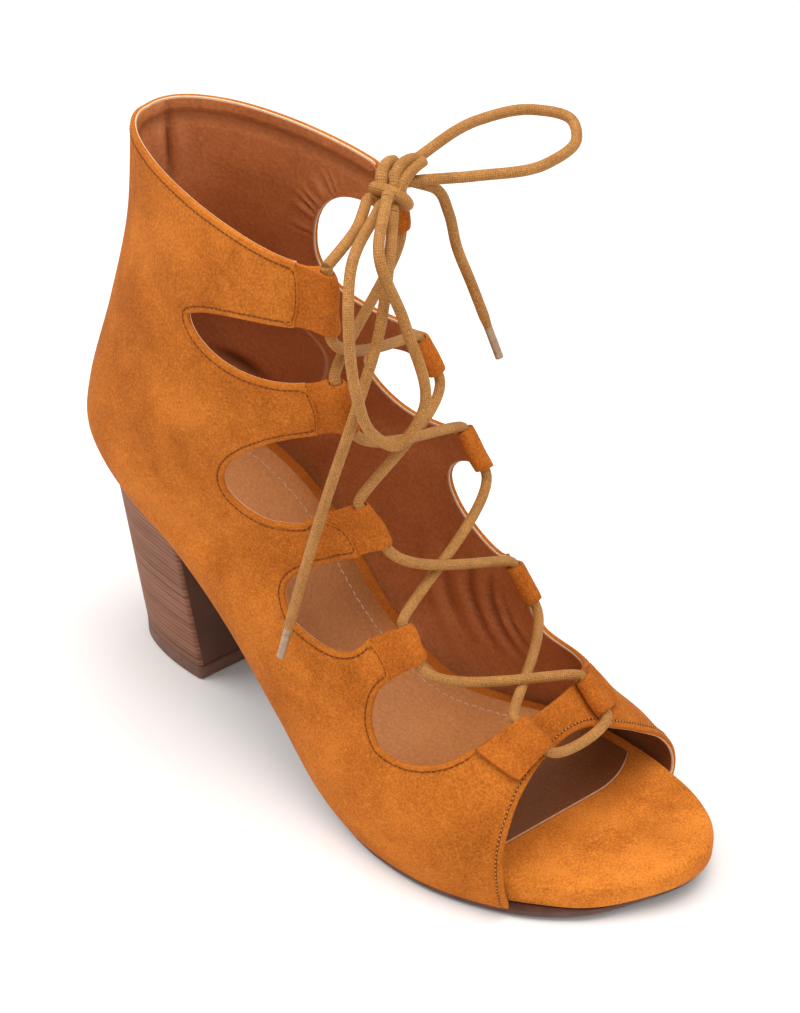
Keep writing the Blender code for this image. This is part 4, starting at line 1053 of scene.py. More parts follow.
def crease_depth(flat, creases):
    """Depth of the creases at places of the flat pattern."""
    depth = np.zeros(len(flat))
    for crease in creases:
        names = dict(zip(CREASE_COLUMNS, crease))
        a, b = (np.array([names["row_" + end], names["reach_" + end]]) * PATTERN_SCALE for end in "ab")
        along = unit(b - a)
        share = np.clip((flat - a) @ along / np.linalg.norm(b - a), 0, 1)
        line = a + share[:, None] * (b - a)
        line = line + np.outer(np.sin(math.pi * share) * names["bend"], [-along[1], along[0]])
        distance = np.linalg.norm(flat - line, axis=1)
        taper = np.sin(math.pi * (CREASE_BLUNT + (1 - 2 * CREASE_BLUNT) * share))
        depth += names["depth"] * taper * np.exp(-(distance / names["width"]) ** 2)
    return depth


def gathers(row, reach, edge):
    """Fan of short gathers in the lining, up and back of the medial collar cut-out: fold count and strength."""
    notch = dict(zip(NOTCH_COLUMNS, NOTCHES[1][0]))
    up = (notch["back_row"] - row) * ROW_LENGTH
    back = (reach - notch["back_reach"]) * HALF_GIRTH + GATHER_CENTRE
    angle = np.arctan2(up, back)
    strength = np.where((reach > 0) & (row < notch["back_row"] + 1), 1.0, 0.0)
    for value, (first, last) in ((edge, GATHER_EDGE), (angle, GATHER_ANGLE)):
        strength = strength * ease(value, *first) * (1 - ease(value, *last))
    far, often = GATHER_UNEVEN
    return (angle + far * np.sin(often * angle)) * GATHERS, strength


def make_upper():
    """Suede shell, pale cut edge and lining as one wall, wrapped on the last from the flat pattern."""
    outline, kinds = pattern_outline()
    flat, faces, origins = fill_outline(outline * PATTERN_SCALE, PATTERN_SPACING, PATTERN_KEEP_OFF)
    row, reach = (flat / PATTERN_SCALE).T
    row = np.clip(row, 0, TOE_ROW)
    reach = np.where(np.abs(reach) > 1 - MERGE_NEAR, np.sign(reach), reach)
    normal = upper_normal(row, reach)
    normal[(np.abs(reach) == 1) & (row > SEAT_ROW - SEAM_NEAR), 2] = 0
    seam = (np.abs(reach) == 1) & (row < SEAT_ROW + SEAM_NEAR)
    normal[seam, 1] = 0
    normal = unit(normal)
    kind = [kinds[min(origin)] if origin and min(origin) < len(kinds) else None for origin in origins]
    outer = upper_point(row, reach) - normal * crease_depth(flat, SHELL_CREASES)[:, None]
    collar = near_tree(outer[[i for i in range(len(flat)) if kind[i] == "collar"]])
    from_collar = np.array([collar.find(point)[2] for point in outer])
    crease = crease_depth(flat, LINING_CREASES)
    thick = WALL + crease
    for middle, wide, height in FACING:
        swell = height * np.exp(-((from_collar - middle) / wide) ** 2)
        thick = thick + swell * ease(from_collar, *FACING_START)
    inner = outer - normal * thick[:, None]
    partner = {round(float(row[i]), 3): i for i in np.nonzero(seam & (reach > 0))[0]}
    weld = np.arange(len(flat))
    for i in np.nonzero(seam & (reach < 0))[0]:
        weld[i] = partner[round(float(row[i]), 3)]
    skin = []
    for face in faces:
        corners = [int(weld[i]) for i in face]
        a, b, c = outer[corners]
        skin.append(corners if np.dot(np.cross(b - a, c - a), normal[corners[0]]) > 0 else corners[::-1])
    sides = {(i, j): None for corners in skin for i, j in zip(corners, corners[1:] + corners[:1])}
    follow = {i: j for i, j in sides if (j, i) not in sides}
    return build_wall(outer, inner, normal, skin, follow, kind, row, reach, from_collar, crease)


def build_wall(outer, inner, normal, skin, follow, kind, row, reach, from_collar, crease):
    """Mesh of the wall: shell, lining, and a rim along every cut edge in strips."""
    count = len(outer)
    before = {j: i for i, j in follow.items()}
    rim = sorted(follow)
    index = {i: n for n, i in enumerate(rim)}
    along = np.array([outer[follow[i]] - outer[before[i]] for i in rim])
    out = unit(np.cross(along, normal[rim]))
    bulge = np.array([RIM_AT_JOINT if kind[i] in ("joint", "bridge") else 1.0 for i in rim])[:, None]
    rings = [outer[rim] + out * forth * bulge - normal[rim] * deep for forth, deep, _ in RIM_LEVELS]
    points = np.concatenate([outer, inner] + rings)
    faces = skin + [[i + count for i in corners[::-1]] for corners in skin]
    slots = [0] * len(skin) + [2] * len(skin)
    strip_slots = [slot for _, _, slot in RIM_LEVELS] + [2]
    steps = range(len(RIM_LEVELS))
    for i, j in follow.items():
        left, right = ([k] + [2 * count + level * len(rim) + index[k] for level in steps] + [k + count]
                       for k in (i, j))
        for level, slot in enumerate(strip_slots):
            faces.append((right[level], left[level], left[level + 1], right[level + 1]))
            slots.append(slot)
    share, distance = edge_distances(outer, rim, kind)
    fan, fall = gathers(row, reach, distance)
    fall = fall * ease(from_collar, *GATHER_COLLAR)
    nothing = np.zeros(len(rim) * len(RIM_LEVELS))
    # deep and the covered front's value are painted shade on the lining: darker deeper under the collar and at
    # the front rows
    fields = {"edge": share, "band": from_collar / BAND_WIDTH, "fan": fan, "fan_fall": fall,
              "deep": ease(from_collar, *LINING_DEEP_SHADE_RAMP), "painted_shade": ease(row, *LINING_SHADE_ROWS), "crease": crease,
              "grip": (np.abs(reach) - GRIP_REACH - GRIP_CURVE * (row - GRIP_ROW) ** 2) * HALF_GIRTH}
    values = {name: np.concatenate([field, field, nothing]) for name, field in fields.items()}
    piece = add_mesh("upper_suede", points, faces, (SUEDE, RAW_EDGE, LINING), slots, values, sharp=50)
    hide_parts("upper")
    tree = BVHTree.FromPolygons([Vector(point) for point in outer], skin)
    return outer, out, rim, follow, kind, tree


def edge_distances(outer, rim, kind):
    """Distance from the sewn edges, as a share of the stitch line's and in millimetres."""
    sewn = [i for i in rim if kind[i] in STITCH_OFFSET]
    tree = near_tree(outer[sewn])
    share, distance = [], []
    for point in outer:
        _, nearest, far = tree.find(point)
        share.append(far / STITCH_OFFSET[kind[sewn[nearest]]])
        distance.append(far)
    return np.array(share), np.array(distance)


def even_points(path, step):
    """Even points along the straight pieces of a path."""
    path = np.asarray(path, float)
    knots = run_lengths(path)
    at = np.linspace(0, knots[-1], int(knots[-1] / step) + 1)
    return np.stack([np.interp(at, knots, path[:, axis]) for axis in range(3)], -1)


def stitch_runs(wall):
    """Paths of the seams on the shell: for each run of sewn edge, points and normals along its stitch line."""
    outer, out, rim, follow, kind, tree = wall
    place = {i: n for n, i in enumerate(rim)}
    before = {j: i for i, j in follow.items()}
    near = {name: near_tree(outer[[i for i in rim if kind[i] == name]]) for name in STITCH_OFFSET}
    made = []
    for first in rim:
        group = SEAM_GROUPS.get(kind[first])
        if group is None or SEAM_GROUPS.get(kind[before[first]]) == group:
            continue
        chain = [first]
        while SEAM_GROUPS.get(kind[follow[chain[-1]]]) == group:
            chain.append(follow[chain[-1]])
        edges = [name for name in SEAM_GROUPS if SEAM_GROUPS[name] == group]
        line = []
        for i in chain:
            point = outer[i] - out[place[i]] * STITCH_OFFSET[kind[i]]
            if min(near[name].find(point)[2] / STITCH_OFFSET[name] for name in edges) > STITCH_CLEAR:
                line.append(point)
        line = even_points(line, STITCH_STEP)
        half = int(STITCH_ROUND / STITCH_STEP)
        padded = np.concatenate([np.repeat(line[:1], half, axis=0), line, np.repeat(line[-1:], half, axis=0)])
        kernel = np.ones(2 * half + 1) / (2 * half + 1)
        line = np.stack([np.convolve(padded[:, axis], kernel, "valid") for axis in range(3)], -1)
        found = [tree.find_nearest(Vector(point)) for point in line]
        made.append((group, np.array([hit[0] for hit in found]), np.array([hit[1] for hit in found])))
    return made


def stitches(paths, material, name, pitch, length, radius, slant=0.0, shift=0.0):
    """One mesh of short stitches along paths of points and normals, each sunk at both ends."""
    turns = np.arange(STITCH_SIDES) * 2 * math.pi / STITCH_SIDES
    points, faces = [], []
    for path, normals in paths:
        knots = run_lengths(path)
        if knots[-1] < 2 * pitch:
            continue
        for s in np.arange(pitch * (1 + shift), knots[-1] - pitch / 2, pitch):
            centre, before, after = (np.array([np.interp(at, knots, path[:, k]) for k in range(3)])
                                     for at in (s, s - STITCH_AHEAD, s + STITCH_AHEAD))
            up = unit(np.array([np.interp(s, knots, normals[:, k]) for k in range(3)]))
            along = unit(after - before)
            slant = -slant
            along = unit(along + np.cross(up, along) * slant)
            across = np.cross(up, along)
            first = len(points)
            for forth, lift, thick in STITCH_SHAPE:
                middle = centre + along * forth * length + up * lift * radius
                for turn in turns:
                    points.append(middle + radius * thick * (across * math.cos(turn) + up * math.sin(turn)))
            faces += quads(len(STITCH_SHAPE), STITCH_SIDES, first)
            faces.append(tuple(range(first + STITCH_SIDES - 1, first - 1, -1)))
            faces.append(tuple(range(len(points) - STITCH_SIDES, len(points))))
    return add_mesh(name, points, faces, (material,), sharp=80)


# Lace loops

def wall_frame(row, reach):
    """Middle of the upper's wall and its outward normal at one place."""
    normal = upper_normal(row, reach)
    return upper_point(row, reach) - normal * WALL / 2, normal


def loop_frame(number, side):
    """Two ends of a lace loop, top end first: its joint, two directions and length, in the wall's middle."""
    names = dict(zip(STRAP_COLUMNS, STRAPS[side][number]))
    ends = []
    for end in ("top", "end"):
        joint, normal = wall_frame(names["joint_" + end], side * names["joint_reach"])
        fold, _ = wall_frame(names["fold_" + end], side * names["fold_%s_reach" % end])
        along = fold - joint
        length = np.linalg.norm(along)
        along = along / length
        out = normal - along * np.dot(normal, along)
        ends.append((joint, along, unit(out), length))
    return ends


def loop_lift(number):
    """Height of a loop's middle over the wall's: the last loop lies on the bridge, the others in the wall."""
    on_bridge = number == LAST_STRAP
    return WALL / 2 + BRIDGE_CLEARANCE + LOOP_ROUND if on_bridge else 0.0


def tunnel(number, side):
    """Middle of a loop's lace tunnel at its top and at its lower end."""
    middles = []
    for joint, along, out, length in loop_frame(number, side):
        middles.append(joint + along * (length - LOOP_ROUND) + out * loop_lift(number))
    return middles


# A loop, in millimetres: its start past the joint, how much thinner it is there on each face, where it rises to
# its fold, the fold's rounded corners, and how far it narrows, waves and leans
LOOP_START = 0.15
LOOP_THIN = 0.35
LOOP_SHOULDER = (0.25, 1.0)
LOOP_CORNER = 2.6
LOOP_PULL = 0.9
LOOP_NARROW = 0.05
LOOP_WAVE = 0.25
LOOP_WAVES = 9
LOOP_LEAN = 0.35
LOOP_AROUND = 42
LOOP_ACROSS = (0.0, 0.015, 0.04, 0.08, 0.14, 0.20, 0.30, 0.40, 0.5,
               0.60, 0.70, 0.80, 0.86, 0.92, 0.96, 0.985, 1.0)


def loop_profile(length, lift, pull):
    """Outline of a folded loop seen from its end: along and out, from the joint over the fold and back."""
    base = lift - (LOOP_ROUND - WALL / 2 if lift else 0.0)
    flat = np.linspace(0, 1, LOOP_AROUND // 3)
    turn = np.linspace(math.pi / 2, -math.pi / 2, LOOP_AROUND // 3)
    run = LOOP_START + flat * (length - LOOP_ROUND - LOOP_START)
    shoulder = ease(flat, *LOOP_SHOULDER)
    half = WALL / 2 - LOOP_THIN
    top = base + half + shoulder * (lift + LOOP_ROUND - base - half)
    low = base - half + shoulder * (lift - LOOP_ROUND - base + half)
    forth = length - LOOP_ROUND + (LOOP_ROUND - pull) * np.cos(turn)
    fold = np.column_stack([forth, lift + LOOP_ROUND * np.sin(turn)])
    return np.concatenate([np.column_stack([run, top])[:-1], fold, np.column_stack([run, low])[::-1][1:]])


def make_loop(number, side):
    """A soft folded strip with the lace's tunnel in its fold."""
    lift = loop_lift(number)
    ends = loop_frame(number, side)
    skin, tunnel_wall = [], []
    for share in LOOP_ACROSS:
        joint, along, out, length = (a + (b - a) * share for a, b in zip(*ends))
        width = np.linalg.norm(ends[1][0] - ends[0][0])
        across = (ends[1][0] - ends[0][0]) / width
        rim = abs(2 * share - 1) ** 6
        corner = max(0.0, 1 - min(share, 1 - share) * width / LOOP_CORNER)
        outline = loop_profile(length, lift, LOOP_PULL * (1 - math.sqrt(1 - corner * corner)))
        centre = np.array([length - LOOP_ROUND, lift])
        turn = np.arctan2(*(outline - centre).T[::-1])
        outline = outline + (centre - outline) * LOOP_NARROW * rim
        wave = LOOP_WAVE * math.sin(share * LOOP_WAVES + number * 2 + side)
        wave = wave * np.sin(np.linspace(0, math.pi, len(outline)))
        ring = joint + np.outer(outline[:, 0] + wave, along) + np.outer(outline[:, 1], out)
        hole = centre + TUNNEL / 2 * np.column_stack([np.cos(turn), np.sin(turn)])
        ring = ring + across * LOOP_LEAN * math.sin(number * 3 + 2 * side) * (share - 0.5)
        skin += list(ring)
        tunnel_wall += list(joint + np.outer(hole[:, 0], along) + np.outer(hole[:, 1], out))
    count, levels = len(outline), len(LOOP_ACROSS)
    last = (levels - 1) * count
    inner = levels * count
    faces = quads(levels, count) + [face[::-1] for face in quads(levels, count, inner)]
    for i in range(count):
        j = (i + 1) % count
        faces.append((j, i, inner + i, inner + j))
        faces.append((last + i, last + j, inner + last + j, inner + last + i))
    if side < 0:
        faces = [face[::-1] for face in faces]
    name = "loop_%s_%d" % (SIDE_NAMES[side], number + 1)
    piece = add_mesh(name, skin + tunnel_wall, faces, (LOOP_SUEDE,), sharp=55)
    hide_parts("lace_" + name)


# Sole, heel, footbed and sock liner

def sole_bottom(x):
    """Underside of the outsole."""
    return seat(x) - SOLE_THICK


def make_outsole():
    """Outsole from the heel's breast to the toe, tucked in under the upper's edge."""
    plan = sole_outline({side: BREAST_X[side] + 2 * GAP for side in (-1, 1)}, {-1: TOE_END, 1: TOE_END})
    ball, toe = (ease(plan[:, 0], *ramp) for ramp in SOLE_TUCK_RAMPS)
    outline = inset(plan, SOLE_TUCK_WAIST + (SOLE_TUCK_BALL - SOLE_TUCK_WAIST) * ball
                    + (SOLE_TUCK_TOE - SOLE_TUCK_BALL) * toe)
    rings = [raised(inset(outline, back), lambda x: sole_bottom(x) + high) for back, high in SOLE_RINGS]
    piece = ring_solid("sole", rings, sole_bottom, seat, (SOLE,))
    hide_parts("outsole")


def heel_ring(share):
    """Outline of the heel, from 0 on top under the heel seat to 1 on the floor, medial breast corner first."""
    points = []
    for v in np.linspace(-1, 1, 2 * HEEL_STEPS + 1)[::-1]:
        side = -1 if v < 0 else 1
        run = 1 - math.cos(math.pi / 2 * abs(v))
        wide = math.sin(math.pi / 2 * abs(v))
        top_x = HEEL_INSET + run * (BREAST_X[side] - HEEL_INSET)
        top_y = side * (float(feather(top_x, side)) - HEEL_INSET * wide)
        floor_x = HEEL_FLOOR_BACK + run * (BREAST_X[side] - HEEL_FLOOR_BACK)
        floor_y = HEEL_FLOOR_CENTRE + side * HEEL_FLOOR_HALF * wide ** HEEL_FLOOR_SQUARE
        points.append((top_x + share * (floor_x - top_x), top_y + share * (floor_y - top_y)))
    sides = np.array(points)
    lateral, medial = sides[-1], sides[0]
    breast = np.array([lateral + (medial - lateral) * part for part in BREAST_SHARES])
    return np.concatenate([round_corner(medial, breast[-1], sides[1]), sides[1:-1],
                           round_corner(lateral, sides[-2], breast[0]), breast])


def round_corner(corner, before, after):
    """Four points that round a corner between the points before and after it."""
    back, forth = unit(before - corner), unit(after - corner)
    turns = np.radians(HEEL_CORNER_TURNS)[:, None]
    return corner + HEEL_CORNER * (back * (1 - np.sin(turns)) + forth * (1 - np.cos(turns)))


def heel_seat(x):
    """Top of the heel block."""
    return seat(x) - GAP


def on_breast(a, b):
    """1 for a side face of the heel on its flat breast, else 0."""
    across = abs(b[1] - a[1])
    along = abs(b[0] - a[0])
    return int(across > BREAST_STEP and along < across and a[0] > BREAST_X[-1] / 2)


def make_heel():
    """Heel block with its flat breast, and the wear lift under it."""
    floor = LIFT_THICK + GAP
    rings = []
    for share in np.linspace(1, 0, HEEL_LEVELS):
        ring = heel_ring(share)
        high = heel_seat(ring[:, 0])
        rings.append(np.column_stack([ring, floor + (high - floor) * (1 - share)]))
    groove = inset(rings[0][:, :2], LIFT_GROOVE)
    rings[0] = np.column_stack([groove, np.full(len(groove), floor)])
    lip = heel_ring(1.0)
    rings.insert(1, np.column_stack([lip, np.full(len(lip), floor + LIFT_GROOVE)]))
    block = ring_solid("heel_stack", rings, lambda x: floor, heel_seat, (STACK, BREAST), on_breast)
    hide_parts("heel_block")
    levels = ((LIFT_CHAMFER, 0.0), (0.0, LIFT_CHAMFER), (0.0, LIFT_THICK - LIFT_GROOVE),
              (LIFT_GROOVE, LIFT_THICK))
    rings = [np.column_stack([inset(lip, back), np.full(len(lip), z)]) for back, z in levels]
    lift = ring_solid("heel_lift", rings, lambda x: 0.0, lambda x: LIFT_THICK, (LIFT,))
    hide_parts("heel_top_lift")


def board_bottom(x):
    """Underside of the footbed."""
    return seat(x) + GAP


def board_top(x):
    """Top of the footbed, padded under the heel and thicker under the toes."""
    heel = (BOARD_THICK_HEEL - BOARD_THICK_WAIST) * (1 - ease(x, *BOARD_HEEL_RAMP))
    toe = (BOARD_THICK_TOE - BOARD_THICK_WAIST) * ease(x, *BOARD_RAMP)
    return board_bottom(x) + BOARD_THICK_WAIST + heel + toe


def bare_share(outline):
    """1 where the footbed's edge is bare at the open toe, 0 where the upper covers it."""
    lateral, medial = (ease(outline[:, 0], *BARE_RAMP[side]) for side in (-1, 1))
    return np.where(outline[:, 1] < 0, lateral, medial)


def board_outline():
    """Plan of the footbed: inside the upper's wall, and full where the toe is open."""
    outline = sole_outline({-1: HEEL_END, 1: HEEL_END}, {-1: TOE_END, 1: TOE_END})
    room = WALL + 4 * GAP + BOARD_HEEL_ROOM * (1 - ease(outline[:, 0], *HEEL_ROOM_RAMP))
    return inset(outline, room - (WALL + 3 * GAP) * bare_share(outline))


def worn_nap(point):
    """How worn the footbed's nap is: along the sock liner's front edge and in one spot by the toes."""
    ahead = point[0] - sock_front(point[1])
    spot = math.hypot(point[0] - WORN_SPOT[0], point[1] - WORN_SPOT[1]) / WORN_SPOT_WIDE
    return max(WORN_BAND_SHARE * (1 - ease(ahead, *WORN_BAND)), WORN_SPOT_SHARE * math.exp(-spot * spot))


def make_footbed():
    """Footbed, thick at the open toe, where its upper edge is rounded."""
    outline = board_outline()
    rings = [raised(inset(outline, BOARD_CHAMFER), board_bottom),
             raised(outline, lambda x: board_bottom(x) + BOARD_CHAMFER)]
    edge = BOARD_EDGE_COVERED + (BOARD_EDGE - BOARD_EDGE_COVERED) * bare_share(outline)
    for turn in np.radians(BOARD_EDGE_TURNS):
        ring = inset(outline, edge * (1 - math.cos(turn)))
        high = board_top(ring[:, 0])
        drop = BOARD_EDGE_DROP * (1 - math.sin(turn)) * edge / BOARD_EDGE
        rings.append(np.column_stack([ring, high - drop * (high - board_bottom(ring[:, 0]))]))
    piece = ring_solid("footbed_wrap", rings, board_bottom, board_top, (BOARD_SUEDE,),
                       fields={"worn": worn_nap})
    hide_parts("footbed")


def sock_top(x):
    """Top of the sock liner."""
    return board_top(x) + SOCK_SHOWN


def on_sock_front(a, b):
    """1 for a side face on the sock liner's front edge, else 0."""
    return int(all(abs(p[0] - sock_front(p[1])) < 1.0 for p in (a, b)))


def sock_painted_shade(point):
    """Painted shade on the sock liner: 0 where open, more on the steep arch, 1 under the upper's closed front.
    """
    arch = SOCK_ARCH_PAINTED_SHADE * math.exp(-((point[0] - SOCK_ARCH) / SOCK_ARCH_WIDE) ** 2)
    return max(arch, ease(point[0] - SOCK_SKEW * point[1], *SOCK_SHADE_UNDER_FRONT))


def make_insole():
    """Sock liner from the heel to its front edge behind the open toe, with its sewn line."""
    outline = behind(inset(board_outline(), SOCK_MARGIN), sock_front)
    rings = [raised(outline, lambda x: board_top(x) + SOCK_UNDER),
             raised(outline, lambda x: sock_top(x) - SOCK_CHAMFER),
             raised(inset(outline, SOCK_CHAMFER), sock_top)]
    # the sock liner's painted shade is carried as a value of the mesh
    piece = ring_solid("sock_liner", rings, board_top, sock_top, (SOCK, SOCK_EDGE), on_sock_front,
                       {"painted_shade": sock_painted_shade})
    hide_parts("insole")
    line = inset(board_outline(), SOCK_MARGIN + SOCK_SEAM_IN)
    line = np.roll(line, -int(np.argmax(line[:, 0])), axis=0)
    path = raised(line[line[:, 0] < SOCK_SEAM_END], sock_top)
    normals = np.tile([0.0, 0.0, 1.0], (len(path), 1))
    sewn = stitches([(path, normals)], PALE_THREAD, "sock_stitches", *SOCK_STITCH)


# Lace

def bezier(start, start_pull, end_pull, end, steps):
    """Points of one cubic curve."""
    s = np.linspace(0, 1, steps + 1)[:, None]
    near = (1 - s) ** 3 * start + 3 * s * (1 - s) ** 2 * start_pull
    return near + 3 * s * s * (1 - s) * end_pull + s ** 3 * end


def lace_run(low, low_end, high, high_end, low_pull, high_pull):
    """Path of the lace between two loops: each has its top and lower place, the end it leaves and a pull."""
    start, start_back = low[low_end], low[1 - low_end]
    end, end_back = high[high_end], high[1 - high_end]
    leave = unit(start - start_back)
    enter = unit(end - end_back)
    start = start + leave * LACE_CLEAR
    end = end + enter * LACE_CLEAR
    return bezier(start, start + leave * low_pull, end + enter * high_pull, end, LACE_STEPS)


def resample(path, step):
    """Even points along a smooth curve through a path."""
    path = np.asarray(path, float)
    knots = run_lengths(path)
    at = np.linspace(0, knots[-1], max(int(round(knots[-1] / step)), 4) + 1)
    return np.stack([smooth(knots, path[:, axis], at) for axis in range(3)], -1)


def tube(path, radius):
    """Points, faces and braid coordinates of a round cord along a path, of one radius or one for each point."""
    path = np.asarray(path)
    radii = np.broadcast_to(radius, len(path))
    along = unit(np.gradient(path, axis=0))
    far = run_lengths(path)
    across = np.cross(along[0], [0.3, 0.2, 1.0])
    points, faces, uvs = [], [], []
    wrap = TUBE_SIDES + 1
    for centre, direction, distance, thick in zip(path, along, far, radii):
        across = unit(across - direction * np.dot(across, direction))
        other = np.cross(direction, across)
        for side in range(wrap):
            turn = side * 2 * math.pi / TUBE_SIDES
            points.append(centre + thick * (across * math.cos(turn) + other * math.sin(turn)))
            uvs.append((distance, side / TUBE_SIDES))
    for level in range(len(path) - 1):
        for i in range(TUBE_SIDES):
            a = level * wrap + i
            faces.append((a, a + 1, a + 1 + wrap, a + wrap))
    faces.append(tuple(range(TUBE_SIDES))[::-1])
    faces.append(tuple(range(len(points) - wrap, len(points) - 1)))
    return points, faces, uvs


def crossing_runs(number):
    """The two runs of lace between one pair of loops and the next, the first over the second."""
    high = {side: tunnel(number, side) for side in (-1, 1)}
    low = {side: tunnel(number + 1, side) for side in (-1, 1)}
    over = lace_run(low[1], 0, high[-1], 1, LACE_PULL_LOW, LACE_PULL_HIGH)
    under = lace_run(low[-1], 0, high[1], 1, LACE_PULL_LOW, LACE_PULL_HIGH)
    rows = [STRAPS[side][pair][0] for side in (-1, 1) for pair in (number, number + 1)]
    out = upper_normal(sum(rows) / len(rows), 0.0)
    apart = over[:, None] - under
    sideways = np.linalg.norm(apart - (apart @ out)[..., None] * out, axis=-1)
    i, j = np.unravel_index(np.argmin(sideways), sideways.shape)
    lift = (CROSS_SHARE * LACE - apart[i, j] @ out) / 2 * out
    hump = np.sin(np.linspace(0, math.pi, LACE_STEPS + 1))
    return over + np.outer(hump / hump[i], lift), under - np.outer(hump / hump[j], lift)


def through(number, side):
    """Points of the lace inside a loop, from its lower to its top end."""
    top, low = tunnel(number, side)
    return [low + (top - low) * share for share in TUNNEL_SHARES]


def make_laced():
    """Lace through the loops, as the two halves that cross from the toe bar up to the bow."""
    bar = lace_run(tunnel(LAST_STRAP, -1), 1, tunnel(LAST_STRAP, 1), 1, LACE_PULL_BAR, LACE_PULL_BAR)
    middle = len(bar) // 2
    ends = {-1: CORDS["lace_riser_lateral"][0], 1: KNOT_CENTRE + (tunnel(0, 1)[0] - KNOT_CENTRE) * KNOT_REACH}
    for side, start in ((-1, bar[:middle + 1][::-1]), (1, bar[middle:])):
        path = list(start)
        here = side
        for number in range(LAST_STRAP - 1, -1, -1):
            over, under = crossing_runs(number)
            path += through(number + 1, here)
            path += list(over if here > 0 else under)
            here = -here
        path += through(0, here)
        path += [tunnel(0, here)[0], ends[side]]
        points, faces, uvs = tube(resample(path, LACE_STEP), LACE / 2)
        piece = add_mesh("laced_half_" + SIDE_NAMES[side], points, faces, (BRAID,), uvs=uvs, sharp=80)
        if side < 0:
            crossings = ["lace_crossing_%d" % (number + 1) for number in range(LAST_STRAP)]
            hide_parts(*crossings, "lace_toe_bar")


def knot_point(place):
    """A place in the knot's own directions, in shoe millimetres."""
    return KNOT_CENTRE + np.asarray(place) @ KNOT_AXES


def make_knot():
    """Knot of the bow: a band round the strands, turns over it, and the cords' own ends drawn into it."""
    paths = [knot_point(turn) for turn in KNOT_TURNS]
    for name, route in CORDS.items():
        path = cord_path(route)
        ends = [path]
        if name.startswith("bow_loop"):
            ends.append(path[::-1])
        elif name.startswith("lace_riser"):
            ends = [path[::-1]]
        for end in ends:
            start = end[0]
            leave = unit(end[0] - end[2])
            local = KNOT_AXES @ (start - KNOT_CENTRE)
            heart = knot_point(KNOT_LOW if local[1] < KNOT_LOW[1] / 2 else KNOT_HEART)
            pull = KNOT_PULL * np.linalg.norm(heart - start)
            paths.append(bezier(start, start + leave * pull, (start + 2 * heart) / 3, heart, KNOT_CURVE_STEPS))
    points, faces, uvs = [], [], []
    thick = KNOT_THICK + (LACE / 2,) * (len(paths) - len(KNOT_THICK))
    for path, radius in zip(paths, thick):
        ring = tube(resample(path, KNOT_STEP), radius)
        faces += [tuple(i + len(points) for i in face) for face in ring[1]]
        points += ring[0]
        uvs += ring[2]
    piece = add_mesh("bow_knot", points, faces, (BRAID,), uvs=uvs, sharp=80)
    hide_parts("lace_knot")


def cord_path(route):
    """Even points along a cord's route."""
    return resample(resample(route, ROUTE_STEP), LACE_STEP)


def make_cord(name, route):
    """A free end or loop of the lace, an end with its film tip."""
    path = cord_path(route)
    knots = run_lengths(path)
    length = knots[-1]
    free = name.startswith("lace_end")
    radius = np.full(len(path), LACE / 2)
    if free:
        thin = ease(knots, *(length - TIP_LENGTH + past for past in TIP_TAPER))
        radius = radius + (TIP_RADIUS - TIP_SKIN - LACE / 2) * thin
        end = path[knots > length - TIP_LENGTH]
        points, faces, uvs = tube(np.concatenate([end, [end[-1] + (end[-1] - end[-2]) * TIP_PAST]]), TIP_RADIUS)
        tip = add_mesh("tip_" + name, points, faces, (LACE_TIP,), uvs=uvs, sharp=60)
    points, faces, uvs = tube(path, radius)
    piece = add_mesh("cord_" + name, points, faces, (BRAID,), uvs=uvs, sharp=80)
    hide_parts(name)


# Stage

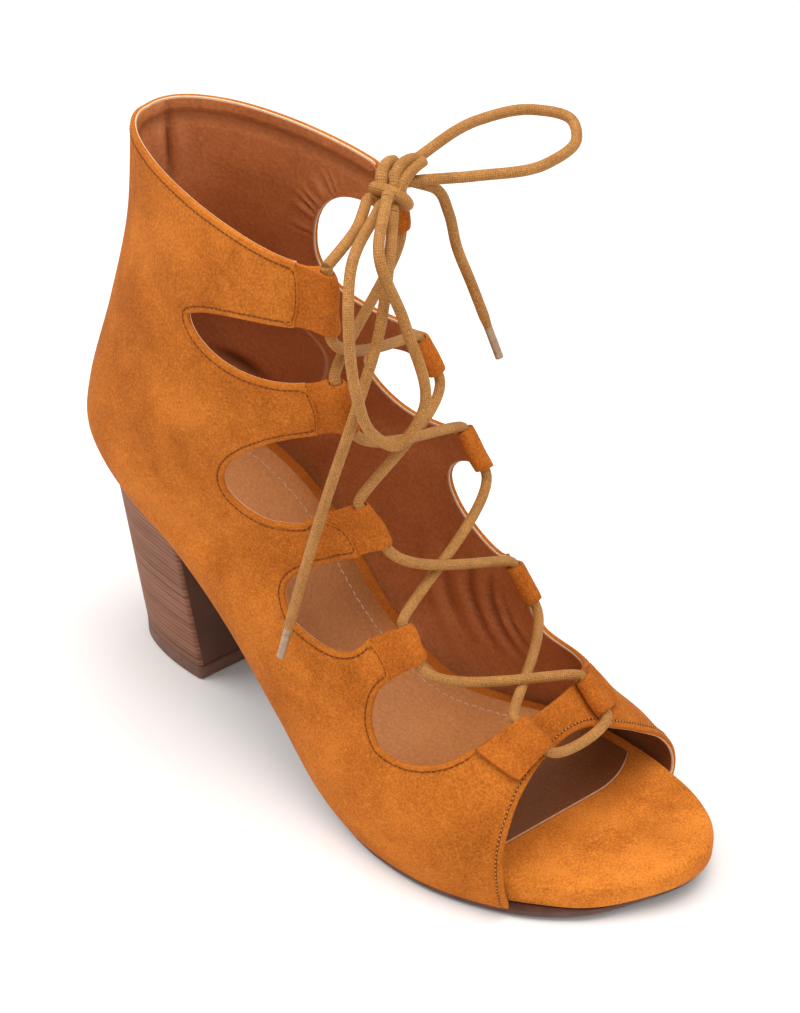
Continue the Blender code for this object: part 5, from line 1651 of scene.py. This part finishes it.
def make_stage():
    """Pale floor and soft light."""
    mesh = bpy.data.meshes.new("floor")
    corners = [(x * FLOOR_HALF, y * FLOOR_HALF, 0) for x, y in ((-1, -1), (1, -1), (1, 1), (-1, 1))]
    mesh.from_pydata(corners, [], [(0, 1, 2, 3)])
    floor = bpy.data.objects.new("floor", mesh)
    mesh.materials.append(Shade("paper", PAPER, 0.9).finish(Specular_IOR_Level=0.1))
    bpy.context.scene.collection.objects.link(floor)
    world = bpy.data.worlds.new("studio")
    world.use_nodes = True
    background = world.node_tree.nodes["Background"]
    background.inputs["Color"].default_value = WORLD_COLOUR
    background.inputs["Strength"].default_value = WORLD_STRENGTH
    bpy.context.scene.world = world
    for name, (place, size, power) in LIGHTS.items():
        lamp = bpy.data.lights.new(name, "AREA")
        lamp.size = size
        lamp.energy = power
        thing = bpy.data.objects.new(name, lamp)
        thing.location = place
        thing.rotation_euler = (Vector(LIGHT_AIM) - Vector(place)).to_track_quat("-Z", "Y").to_euler()
        bpy.context.scene.collection.objects.link(thing)
    bpy.context.scene.view_settings.view_transform = "Standard"


def make_camera():
    """Camera at the photograph's place."""
    azimuth, elevation, roll = (math.radians(a) for a in (CAMERA_AZIMUTH, CAMERA_ELEVATION, CAMERA_ROLL))
    level = math.cos(elevation)
    back = Vector((math.sin(azimuth) * level, -math.cos(azimuth) * level, math.sin(elevation)))
    right = (-back).cross(Vector((0, 0, 1))).normalized()
    up = right.cross(-back)
    turned_right = math.cos(roll) * right + math.sin(roll) * up
    turned_up = -math.sin(roll) * right + math.cos(roll) * up
    data = bpy.data.cameras.new("camera")
    data.sensor_width = SENSOR
    data.lens = FOCAL_PIXELS / PHOTO_HEIGHT * SENSOR
    data.clip_start = CLIP_START
    camera = bpy.data.objects.new("camera", data)
    eye = Vector(row_frame(CAMERA_TARGET)) + back * CAMERA_DISTANCE * MM
    turn = Matrix((turned_right, turned_up, back)).transposed().to_4x4()
    camera.matrix_world = Matrix.Translation(eye) @ turn
    bpy.context.scene.collection.objects.link(camera)
    bpy.context.scene.camera = camera


make_stage()
make_camera()
make_outsole()
make_heel()
make_footbed()
make_insole()
wall = make_upper()
seams = stitch_runs(wall)
for seam_name, (seam_group, thread, *stitch, seam_shift) in SEAMS.items():
    runs = [(path, normals) for group, path, normals in seams if group == seam_group]
    sewn = stitches(runs, THREADS[thread], seam_name, *stitch, shift=seam_shift)
for strap in range(LAST_STRAP + 1):
    for flank in (-1, 1):
        make_loop(strap, flank)
make_laced()
make_knot()
for cord_name, cord_route in CORDS.items():
    make_cord(cord_name, cord_route)
